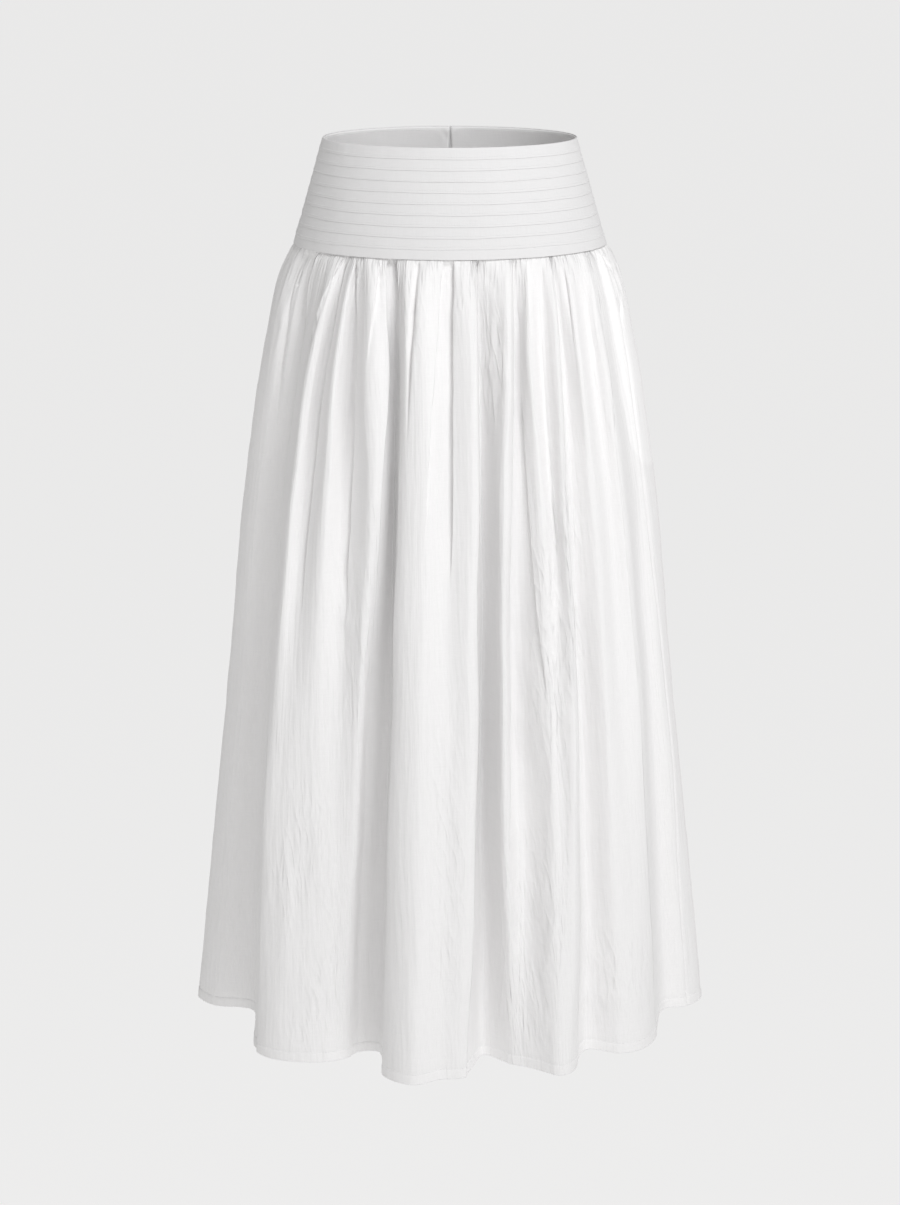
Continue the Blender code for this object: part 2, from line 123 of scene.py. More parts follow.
LEVELS = (
    Level("seam", 0.1060, 0.1573, 0.1237),
    Level("gathers", 0.1310, 0.1680, 0.1330),
    Level("hip", 0.2000, 0.1857, 0.1500),
    Level("pocket", 0.3200, 0.2058, 0.1660),
    Level("knee", 0.5500, 0.2295, 0.1880),
    Level("hem", 0.9110, 0.2680, 0.2100),
)
FRONT_FOLDS = (
    Fold("left_face", -147, -174, -193, -214, -248, -10, -20, -34, -50),
    Fold("left_recess", -131, -150, -168, -188, -209, -26, -42, -64, -88),
    Fold("first_edge", -107, -133, -152, -177, -200, 14, 19, 33, 14),
    Fold("first_hollow", -99, -121, -139, -160, -181, -14, 0, 26, 24),
    Fold("second_crest", -94, -110, -120, -134, -145, 14, 18, 19, 13),
    Fold("second_hollow", -88, -96, -101, -109, -120, -14, -8, 5, -1),
    Fold("third_crest", -83, -81, -78, -90, -102, 13, 15, 6, -18),
    Fold("third_edge", -68, -63, -65, -80, -94, 9, 8, -14, -35),
    Fold("dark_hollow", -56, -53, -55, -61, -72, -16, -21, -34, -42),
    Fold("middle_left_edge", -44, -44, -46, -54, -66, 9, 14, 20, 25),
    Fold("middle_crest", -23, -22, -25, -31, -36, 14, 20, 31, 41),
    Fold("middle_dip", -4, -4, -3, -2, -10, 0, 8, 23, 26),
    Fold("middle_right_edge", 21, 23, 24, 22, 15, 12, 18, 26, 20),
    Fold("centre_hollow", 28, 29, 31, 31, 34, -15, -20, -28, -39),
    Fold("short_crest", 57, 56, 54, 53, 62, 12, 14, 13, -10),
    Fold("short_hollow", 64, 66, 67, 67, 80, -7, -10, -20, 4),
    Fold("fourth_crest", 76, 79, 88, 98, 107, 8, 9, 13, 31),
    Fold("fourth_dip", 87, 91, 100, 108, 116, -9, -2, 12, 33),
    Fold("fourth_edge", 97, 106, 112, 123, 125, 13, 18, 26, 26),
    Fold("fourth_hollow", 101, 110, 117, 130, 140, -12, -12, -20, -25),
    Fold("fifth_crest", 112, 125, 139, 156, 174, 9, 9, 9, 5),
    Fold("fifth_dip", 122, 138, 153, 172, 193, -6, -4, 5, 10),
    Fold("fifth_edge", 132, 150, 168, 188, 210, 8, 10, 13, 0),
    Fold("right_recess", 140, 162, 181, 202, 225, -16, -26, -44, -74),
    Fold("right_face", 149, 176, 195, 217, 250, -8, -14, -24, -44),
)
BACK_FOLDS = (
    Fold("back_right_face", 147, 173, 191, 216, 250, -8, -12, -20, -34),
    Fold("back_right_recess", 136, 158, 175, 197, 223, -20, -30, -46, -68),
    Fold("back_first_edge", 126, 145, 160, 181, 206, 8, 12, 14, 3),
    Fold("back_first_crest", 113, 129, 142, 159, 177, 12, 15, 16, 12),
    Fold("back_first_dip", 104, 117, 130, 145, 161, -9, -6, 2, 8),
    Fold("back_first_end", 95, 105, 117, 129, 144, 10, 12, 14, 10),
    Fold("back_first_hollow", 85, 93, 103, 112, 123, -15, -22, -30, -34),
    Fold("back_second_edge", 76, 81, 90, 98, 106, 10, 14, 20, 22),
    Fold("back_second_crest", 62, 66, 72, 78, 84, 14, 18, 27, 36),
    Fold("back_second_dip", 51, 54, 58, 63, 66, -9, -3, 12, 28),
    Fold("back_second_end", 41, 43, 45, 48, 46, 10, 13, 20, 20),
    Fold("back_centre_hollow", 29, 28, 28, 27, 24, -15, -23, -34, -40),
    Fold("back_centre_edge", 16, 15, 14, 12, 8, 8, 12, 18, 16),
    Fold("centre_back", 0, 0, 0, 0, 0, 6, 10, 22, 31),
    Fold("back_centre_dip", -13, -14, -16, -18, -20, -6, 0, 14, 30),
    Fold("back_centre_end", -26, -28, -32, -36, -40, 10, 14, 18, 18),
    Fold("back_third_hollow", -38, -42, -48, -55, -64, -16, -24, -34, -42),
    Fold("back_third_edge", -49, -54, -61, -70, -84, 8, 13, 17, 14),
    Fold("back_third_crest", -62, -70, -80, -92, -109, 14, 20, 28, 32),
    Fold("back_third_dip", -74, -84, -94, -107, -124, -9, -5, 10, 24),
    Fold("back_third_end", -86, -98, -108, -121, -138, 10, 12, 16, 10),
    Fold("back_fourth_hollow", -97, -111, -122, -137, -156, -14, -20, -27, -32),
    Fold("back_fourth_edge", -107, -123, -136, -151, -174, 8, 10, 10, 2),
    Fold("back_fourth_crest", -121, -139, -153, -169, -194, 8, 11, 13, 9),
    Fold("back_fourth_end", -131, -151, -167, -186, -212, 7, 8, 10, 0),
    Fold("back_left_recess", -140, -163, -181, -203, -229, -16, -24, -42, -68),
    Fold("back_left_face", -149, -175, -194, -218, -252, -8, -12, -22, -42),
)
LINE_COUNT = len(FRONT_FOLDS) + len(BACK_FOLDS) + 2
RIGHT_SIDE = len(FRONT_FOLDS) + 1
CENTRE_BACK = RIGHT_SIDE + 1 + [fold.name for fold in BACK_FOLDS].index("centre_back")
LEFT_POCKET_END = 1 + [fold.name for fold in FRONT_FOLDS].index("left_recess")
RIGHT_POCKET_END = 1 + [fold.name for fold in FRONT_FOLDS].index("right_recess")

# Furrows between the gathers, in degrees round the front seam from the left side; the back repeats them.
FURROW_DEGREES = (
    0, 7, 13, 20, 26, 31, 36, 42, 48, 52, 57, 64, 67, 72, 77, 83, 87,
    91, 96, 100, 104, 108, 113, 116, 120, 124, 129, 134, 138, 143, 149, 155, 162, 168, 174, 180,
)  # fmt: skip
FURROW_WIDEST_DEGREES = 7.0


class Crease(NamedTuple):
    """One soft crease on a panel, in millimetres: two ends (across, below), width and depth.

    A positive depth raises a ridge and a negative one presses a trough.
    """

    across: float
    below: float
    end_across: float
    end_below: float
    width: float
    depth: float


FRONT_CREASES = (
    Crease(-141, 124, -154, 190, 5, -1.2),
    Crease(-124, 118, -136, 160, 4, -0.8),
    Crease(-70, 118, -77, 150, 4, 1.2),
    Crease(-61, 116, -64, 160, 3.5, 1.2),
    Crease(-38, 140, -41, 210, 4, 1.6),
    Crease(36, 118, 47, 140, 4, -1.2),
    Crease(44, 150, 56, 205, 5, -0.9),
    Crease(38, 190, 52, 240, 6, -0.8),
    Crease(72, 150, 84, 260, 5, 0.8),
    Crease(90, 330, 84, 430, 5, -0.9),
    Crease(96, 380, 90, 520, 4, 0.8),
    Crease(64, 470, 90, 560, 6, 1.0),
    Crease(60, 560, 86, 640, 5, -0.9),
    Crease(78, 600, 72, 700, 5, 0.8),
    Crease(100, 520, 94, 660, 5, -0.7),
    Crease(88, 700, 104, 790, 6, 0.8),
    Crease(150, 846, 190, 838, 4, -1.2),
    Crease(150, 300, 158, 470, 6, 0.6),
    Crease(-140, 600, -128, 760, 6, 0.8),
    Crease(-160, 660, -150, 820, 6, -0.7),
    Crease(-112, 520, -118, 700, 6, -0.7),
    Crease(-20, 620, -6, 780, 7, -0.8),
    Crease(-46, 760, -36, 880, 6, 0.7),
)
BACK_CREASES = (
    Crease(-130, 120, -122, 190, 5, -1.1),
    Crease(-92, 118, -99, 160, 4, 1.1),
    Crease(-58, 130, -66, 230, 5, -0.9),
    Crease(-20, 118, -24, 165, 4, 1.1),
    Crease(40, 120, 48, 170, 4, -1.0),
    Crease(72, 140, 84, 260, 5, 0.9),
    Crease(112, 124, 120, 200, 5, -1.0),
    Crease(-100, 420, -88, 560, 6, 0.8),
    Crease(-70, 560, -84, 680, 6, -0.8),
    Crease(60, 480, 78, 600, 6, 0.8),
    Crease(96, 620, 84, 760, 6, -0.8),
    Crease(-150, 700, -164, 820, 6, 0.7),
    Crease(130, 560, 144, 700, 6, -0.7),
    Crease(24, 700, 34, 840, 6, 0.7),
)


# How the cloth turns under a pleat's edge: the depth and the share are factors, the rest is in
# millimetres, and the rim of a slot stands at so many times its reach.
PLEAT_DEPTH = 1.35
PLEAT_EDGE = 0.5
PLEAT_LAP_SHARE = 0.30
PLEAT_LAP_MOST = 2.6
PLEAT_LAP_AT = 1.2
SLOT_RIM_AT = 2.4

# Columns of points beside a pleat, and how much its edge wavers, in millimetres.
PLEAT_COLUMNS = (0.7, 1.9, 3.8)
PLEAT_WANDER = 0.2
PLEAT_WANDER_CELL = 28.0
PLEAT_WANDER_SEED = 81

# Where pleats and crumples begin and end, and the tuck at the seam.
PLEAT_BEGIN = 10.0 * MM
PLEAT_FADE_IN = 4.0 * MM
PLEAT_FADE_OUT = 110.0 * MM
CRUMPLE_FADE_IN = 4.0 * MM
SEAM_TUCK = 1.8 * MM
SEAM_TUCK_REACH = 3.5 * MM


class Pleat(NamedTuple):
    """One sharp fold edge, in millimetres: where it runs, which way it drops and how deep.

    The first six numbers are its place across the skirt at the levels. Side is 1 where the cloth
    drops away beyond the edge, anticlockwise seen from above, -1 where it drops away before it, and
    0 for a slot. The lip rises at the edge, and the cloth comes back within the reach.
    """

    name: str
    seam: float
    gathers: float
    hip: float
    pocket: float
    knee: float
    hem: float
    side: int
    lip: float
    drop: float
    reach: float
    start: float
    end: float

    def moves(self, away: np.ndarray) -> tuple[np.ndarray, np.ndarray]:
        """Outward and sideways moves of the cloth round the edge, all in millimetres.

        Up to the edge the cloth rises to the lip. Beyond it the cloth falls by the drop within a
        millimetre or two, laps back under the edge, and comes out again over the reach. The lap is
        a share of the drop times (t / a) exp(1 - t / a), which is most at the distance a beyond the
        edge. A slot falls and comes back on both sides.

        Args:
            away: Distances from the edge along the cloth, anticlockwise.

        Returns:
            Moves outward and anticlockwise.
        """
        drop = PLEAT_DEPTH * self.drop
        if not self.side:
            past = np.abs(away)
            rim = self.lip * bell((past - SLOT_RIM_AT * self.reach) / self.reach)
            return rim - drop * bell(past / self.reach), np.zeros_like(away)
        away = away * self.side
        past = np.maximum(away, 0)
        lip = self.lip * np.exp(-np.maximum(-away, 0) / self.reach)
        edge = 1 - bell(past / PLEAT_EDGE)
        lap = min(PLEAT_LAP_SHARE * drop, PLEAT_LAP_MOST)
        outward = lip * (1 - edge) - drop * edge * np.exp(-past / self.reach)
        return outward, -self.side * lap * past / PLEAT_LAP_AT * np.exp(1 - past / PLEAT_LAP_AT)


FRONT_PLEATS = (
    Pleat("left_notch", -143, -154, -166, -178, -197, -225, 0, 0.3, 3.2, 3.0, 104, 300),
    Pleat("first_left", -130, -137, -146, -165, -179, -196, -1, 0.9, 6.5, 12.0, 104, 965),
    Pleat("first_ridge", -104, -117, -139, -153, -168, -185, 1, 1.2, 2.4, 4.0, 104, 260),
    Pleat("first_valley", -99, -105, -117, -134, -152, -172, -1, 0.8, 4.5, 5.0, 104, 470),
    Pleat("second_valley", -91, -91, -89, -96, -106, -130, -1, 0.8, 4.0, 7.0, 104, 470),
    Pleat("third_ridge", -68, -71, -79, -84, -94, -112, 1, 1.3, 3.2, 4.0, 104, 230),
    Pleat("third_right", -61, -63, -60, -66, -80, -98, 1, 0.9, 5.0, 9.0, 104, 470),
    Pleat("middle_left", -52, -50, -48, -48, -55, -67, -1, 1.0, 8.0, 7.0, 104, 965),
    Pleat("middle_slot", -31, -33, -39, -43, -46, -56, 0, 0.9, 4.0, 1.5, 104, 290),
    Pleat("middle_ridge", -7, -9, -14, -23, -29, -36, 1, 1.2, 2.2, 6.0, 104, 400),
    Pleat("centre_slot", 4, 3, 3, 3, -1, -8, -1, 0.7, 6.0, 6.0, 104, 430),
    Pleat("middle_right", 26, 26, 26, 25.5, 24, 16.5, 1, 1.2, 7.5, 9.0, 104, 965),
    Pleat("short_right", 61, 61.5, 61.5, 60, 59, 60, 1, 1.0, 7.0, 8.0, 104, 700),
    Pleat("short_beyond", 67, 68, 70, 75, 94, 98, -1, 0.6, 2.2, 8.0, 240, 560),
    Pleat("fourth_ridge", 75, 76, 79, 89, 103, 112, 1, 1.1, 1.8, 8.0, 104, 300),
    Pleat("fourth_right", 98, 101, 107, 113, 126, 130, 1, 0.8, 4.0, 7.0, 104, 965),
    Pleat("fifth_small", 110, 113, 122, 136, 156, 173, 0, 0.3, 1.5, 2.5, 104, 210),
    Pleat("fifth_right", 135, 143, 153, 167, 188, 213, 1, 0.7, 2.4, 6.0, 104, 965),
    Pleat("side_line", 147, 161, 174, 192, 220, 251, 0, 0.3, 1.2, 1.2, 104, 965),
)
BACK_PLEATS = (
    Pleat("back_side_line", 145, 157, 172, 190, 216, 248, 0, 0.3, 1.2, 1.2, 104, 965),
    Pleat("back_first", 129, 136, 147, 162, 184, 208, 1, 0.8, 4.0, 7.0, 104, 965),
    Pleat("back_second", 112, 117, 127, 140, 158, 176, -1, 1.0, 3.0, 6.0, 104, 330),
    Pleat("back_third", 97, 100, 107, 118, 130, 145, 1, 0.8, 5.0, 7.0, 104, 965),
    Pleat("back_fourth", 76, 78, 82, 91, 99, 108, -1, 0.7, 4.5, 8.0, 104, 965),
    Pleat("back_fifth", 57, 57, 60, 64, 70, 76, 0, 0.8, 3.5, 2.0, 104, 300),
    Pleat("back_sixth", 41, 42, 43, 45, 47, 46, 1, 0.8, 5.0, 7.0, 104, 965),
    Pleat("back_seventh", 16, 16, 15, 14, 12, 8, -1, 0.7, 5.0, 8.0, 104, 965),
    Pleat("back_eighth", -13, -14, -15, -17, -19, -21, 0, 0.8, 3.5, 2.0, 104, 320),
    Pleat("back_ninth", -27, -28, -30, -33, -38, -42, 1, 0.8, 5.5, 7.0, 104, 965),
    Pleat("back_tenth", -49, -51, -54, -61, -70, -84, -1, 0.7, 5.0, 8.0, 104, 965),
    Pleat("back_eleventh", -63, -66, -72, -82, -95, -112, 0, 0.9, 3.5, 1.8, 104, 340),
    Pleat("back_twelfth", -86, -90, -98, -108, -122, -139, 1, 0.8, 4.5, 7.0, 104, 965),
    Pleat("back_thirteenth", -107, -112, -123, -136, -151, -174, -1, 0.7, 4.0, 7.0, 104, 965),
    Pleat("back_fourteenth", -131, -138, -151, -168, -187, -213, 1, 0.6, 3.5, 7.0, 104, 965),
)


class Patch(NamedTuple):
    """One crumpled place on a panel, in millimetres: its middle, half-sizes and how crumpled it is."""

    across: float
    below: float
    half_width: float
    half_height: float
    amount: float


FRONT_PATCHES = (
    Patch(-140, 745, 36, 160, 0.7),
    Patch(-92, 450, 24, 140, 0.5),
    Patch(-2, 720, 20, 190, 0.5),
    Patch(104, 460, 26, 170, 0.9),
    Patch(84, 780, 40, 120, 0.8),
    Patch(170, 830, 36, 46, 0.7),
    Patch(42, 205, 14, 60, 0.8),
    Patch(-38, 150, 16, 40, 0.6),
    Patch(10, 140, 18, 30, 0.5),
    Patch(-225, 800, 20, 90, 0.4),
)
BACK_PATCHES = (
    Patch(100, 480, 28, 150, 0.8),
    Patch(-100, 700, 34, 150, 0.9),
    Patch(22, 740, 24, 170, 0.6),
    Patch(-62, 430, 24, 130, 0.6),
    Patch(160, 780, 38, 110, 0.7),
    Patch(-150, 300, 20, 100, 0.4),
    Patch(60, 170, 16, 50, 0.6),
    Patch(-24, 150, 18, 40, 0.6),
)


class Waver(NamedTuple):
    """One scale of unevenness, in millimetres: its cell across and down, height, seed and slant.

    A scale with no cell down varies only across. The slant is how far a streak leans sideways for
    each millimetre down.
    """

    across: float
    down: float
    height: float
    seed: int
    slant: float = 0.0

    def noise(self, across: np.ndarray, below: np.ndarray, shift: np.ndarray | float = 0.0) -> np.ndarray:
        """Noise from -1 to 1 at these places.

        Args:
            across: Places across, in metres.
            below: Places down, in metres.
            shift: Cells by which the noise is moved across.

        Returns:
            The noise, with the shape that the three broadcast to.
        """
        u = (across + self.slant * below) / (self.across * MM) + shift
        v = below / (self.down * MM) if self.down else 0.5
        return value_noise(u, v, self.seed)

    def move(self, across: np.ndarray, below: np.ndarray, shift: np.ndarray | float = 0.0) -> np.ndarray:
        """The noise times the height, in metres, for the same arguments as noise."""
        return self.height * MM * self.noise(across, below, shift)

    def rise(self, across: np.ndarray, below: np.ndarray) -> np.ndarray:
        """The move with the height added to it, so that it is never inward."""
        return self.height * MM + self.move(across, below)


PLAIN_CRUMPLES = (
    Waver(34, 260, 1.00, 11, 0.03),
    Waver(14, 130, 0.80, 12, -0.03),
    Waver(10, 95, 0.40, 13, 0.02),
)
SHARP_CRUMPLES = (Waver(23, 85, 1.10, 14, 0.16), Waver(27, 100, 1.10, 15, -0.14))
SHARP_CRUMPLE_MEAN = 0.3


class Panel(Enum):
    """The three gathered panels: node name, first and last fold line."""

    FRONT = ("skirt_front", 0, RIGHT_SIDE)
    BACK_RIGHT = ("skirt_back_right", RIGHT_SIDE, CENTRE_BACK)
    BACK_LEFT = ("skirt_back_left", CENTRE_BACK, LINE_COUNT)


class YokePart(Enum):
    """The three pieces of the yoke round the waist: name ending, and degrees from the left side."""

    FRONT = ("front", 0.0, 180.0)
    BACK_RIGHT = ("back_right", 180.0, 270.0)
    BACK_LEFT = ("back_left", 270.0, 360.0)


def fade(t: np.ndarray) -> np.ndarray:
    """Smooth step from 0 to 1 with no slope or bend at its ends: 6t^5 - 15t^4 + 10t^3."""
    t = np.clip(t, 0.0, 1.0)
    return t * t * t * (t * (6.0 * t - 15.0) + 10.0)


def bell(x: np.ndarray) -> np.ndarray:
    """Bell curve exp(-x^2), which is 1 in the middle."""
    return np.exp(-(x**2))


def value_noise(u: np.ndarray, v: np.ndarray | float, seed: int) -> np.ndarray:
    """Smooth noise from -1 to 1 with one cell for each unit of u and v.

    Random values on a square lattice are blended across each cell with the smooth step.

    Args:
        u: Place across, in cells.
        v: Place down, in cells.
        seed: Seed of the lattice.

    Returns:
        The noise, with the shape that u and v broadcast to.
    """
    size = 256
    lattice = np.random.default_rng(seed).uniform(-1.0, 1.0, (size, size))
    u, v = np.broadcast_arrays(u, v)
    i, j = np.floor(u).astype(int), np.floor(v).astype(int)
    s, t = fade(u - i), fade(v - j)
    i, j = i % size, j % size
    after_i, after_j = (i + 1) % size, (j + 1) % size
    upper = lattice[i, j] * (1 - s) + lattice[after_i, j] * s
    lower = lattice[i, after_j] * (1 - s) + lattice[after_i, after_j] * s
    return upper * (1 - t) + lower * t


def lengths_along(points: np.ndarray) -> np.ndarray:
    """Length of a row of points from its first one to each of them."""
    return np.concatenate([[0.0], np.cumsum(np.linalg.norm(np.diff(points, axis=0), axis=1))])


def flat_uv(across: np.ndarray, down: np.ndarray) -> np.ndarray:
    """UV places in metres of the flat cloth, for columns across it and rows down it."""
    return np.stack(np.broadcast_arrays(across, -down[:, None]), axis=2)


def draw_in_ends(grid: np.ndarray, by: float) -> None:
    """Moves the end columns of a grid towards their neighbours in plan, which leaves a seam's gap.

    Args:
        grid: Points, rows by columns by 3, which are changed.
        by: Distance of the move.
    """
    for edge, after in ((0, 1), (-1, -2)):
        step = grid[:, after, :2] - grid[:, edge, :2]
        grid[:, edge, :2] += by * step / np.linalg.norm(step, axis=1, keepdims=True)


@dataclass
class MeshPlan:
    """Vertices and quads of one piece, with its UV map and named values, all as arrays."""

    vertices: np.ndarray
    quads: np.ndarray
    uv: np.ndarray
    values: dict[str, np.ndarray] = field(default_factory=dict)

    def make(self, name: str, material: bpy.types.Material) -> bpy.types.Object:
        """Puts the plan into a new object at the origin, shaded smooth.

        Args:
            name: Name of the object and its mesh.
            material: Its only material.

        Returns:
            The object, linked to the scene.
        """
        mesh = bpy.data.meshes.new(name)
        mesh.vertices.add(len(self.vertices))
        mesh.vertices.foreach_set("co", np.ascontiguousarray(self.vertices, np.float32).ravel())
        mesh.loops.add(self.quads.size)
        mesh.loops.foreach_set("vertex_index", self.quads.astype(np.int32).ravel())
        mesh.polygons.add(len(self.quads))
        mesh.polygons.foreach_set("loop_start", np.arange(0, self.quads.size, 4, dtype=np.int32))
        mesh.polygons.foreach_set("use_smooth", np.full(len(self.quads), True))
        mesh.update(calc_edges=True)
        layer = mesh.uv_layers.new(name="UVMap")
        layer.data.foreach_set("uv", self.uv[self.quads.ravel()].astype(np.float32).ravel())
        for key, value in self.values.items():
            attribute = mesh.attributes.new(key, "FLOAT", "POINT")
            attribute.data.foreach_set("value", value.astype(np.float32).ravel())
        mesh.materials.append(material)
        made = bpy.data.objects.new(name, mesh)
        bpy.context.scene.collection.objects.link(made)
        return made


def grid_quads(rows: int, columns: int, closed_rows: bool = False) -> np.ndarray:
    """Quads of a grid whose rows run down and columns run anticlockwise seen from above, facing out.

    Args:
        rows: Number of rows of points.
        columns: Number of points in a row.
        closed_rows: Whether the last row joins the first one.

    Returns:
        An array of vertex numbers, four to a quad.
    """
    row = np.arange(rows if closed_rows else rows - 1)[:, None]
    column = np.arange(columns - 1)[None, :]
    upper = row * columns + column
    lower = (row + 1) % rows * columns + column
    return np.stack([upper, lower, lower + 1, upper + 1], axis=2).reshape(-1, 4)


def shell_plan(outer: np.ndarray, inner: np.ndarray, uv: np.ndarray) -> MeshPlan:
    """Closed wall between two grids of the same shape, joined round their four edges.

    Args:
        outer: Points of the outer face, rows by columns by 3.
        inner: Points of the inner face, in the same order.
        uv: UV places of both faces, rows by columns by 2.

    Returns:
        The plan of the wall.
    """
    rows, columns = outer.shape[:2]
    ring = np.concatenate([outer, inner[::-1]])
    quads = [grid_quads(2 * rows, columns, closed_rows=True)]
    row = np.arange(rows - 1)
    for column, turned in ((0, False), (columns - 1, True)):
        upper, lower = row * columns + column, (row + 1) * columns + column
        upper_in, lower_in = (2 * rows - 1 - row) * columns + column, (2 * rows - 2 - row) * columns + column
        side = np.stack([upper, upper_in, lower_in, lower], axis=1)
        quads.append(side[:, ::-1] if turned else side)
    both = np.concatenate([uv, uv[::-1]])
    return MeshPlan(ring.reshape(-1, 3), np.concatenate(quads), both.reshape(-1, 2))


def ring_walls(rings: int, corners: int) -> np.ndarray:
    """Quads of the walls between the rings of a small solid, whose points are numbered in order.

    Args:
        rings: Number of rings.
        corners: Number of points in a ring.

    Returns:
        An array of vertex numbers, four to a quad.
    """
    first = corners * np.arange(rings - 1)[:, None]
    side = first + np.arange(corners)
    after = first + (np.arange(corners) + 1) % corners
    return np.stack([side, after, after + corners, side + corners], axis=2).reshape(-1, 4)


def copies_plan(vertices: np.ndarray, one: np.ndarray, count: int) -> MeshPlan:
    """Plan of many copies of one small solid, with no UV places.

    Args:
        vertices: Points of all copies, one copy after another.
        one: Quads of the first copy.
        count: Number of copies.

    Returns:
        The plan.
    """
    size = len(vertices) // count
    quads = (one[None] + size * np.arange(count)[:, None, None]).reshape(-1, 4)
    return MeshPlan(vertices, quads, np.zeros((len(vertices), 2)))


def plan_normals(grid: np.ndarray) -> np.ndarray:
    """Outward normals of a grid of points, from the differences between its neighbours.

    Args:
        grid: Points, rows by columns by 3, with columns anticlockwise seen from above.

    Returns:
        Unit normals of the same shape.
    """
    across = np.gradient(grid, axis=1)
    down = np.gradient(grid, axis=0)
    normals = np.cross(down, across)
    return normals / np.maximum(np.linalg.norm(normals, axis=2, keepdims=True), 1e-12)


def dress(piece: bpy.types.Object, slot: str, *nodes: str) -> None:
    """Rides a piece on the garment and hides the nodes that it stands for.

    Args:
        piece: The finished piece.
        slot: Not used.
        nodes: CAD nodes that the piece replaces, if any.
    """
    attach(piece, GARMENT)
    if nodes:
        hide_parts(*nodes)
    LOG.info("%s: %d vertices", piece.name, len(piece.data.vertices))


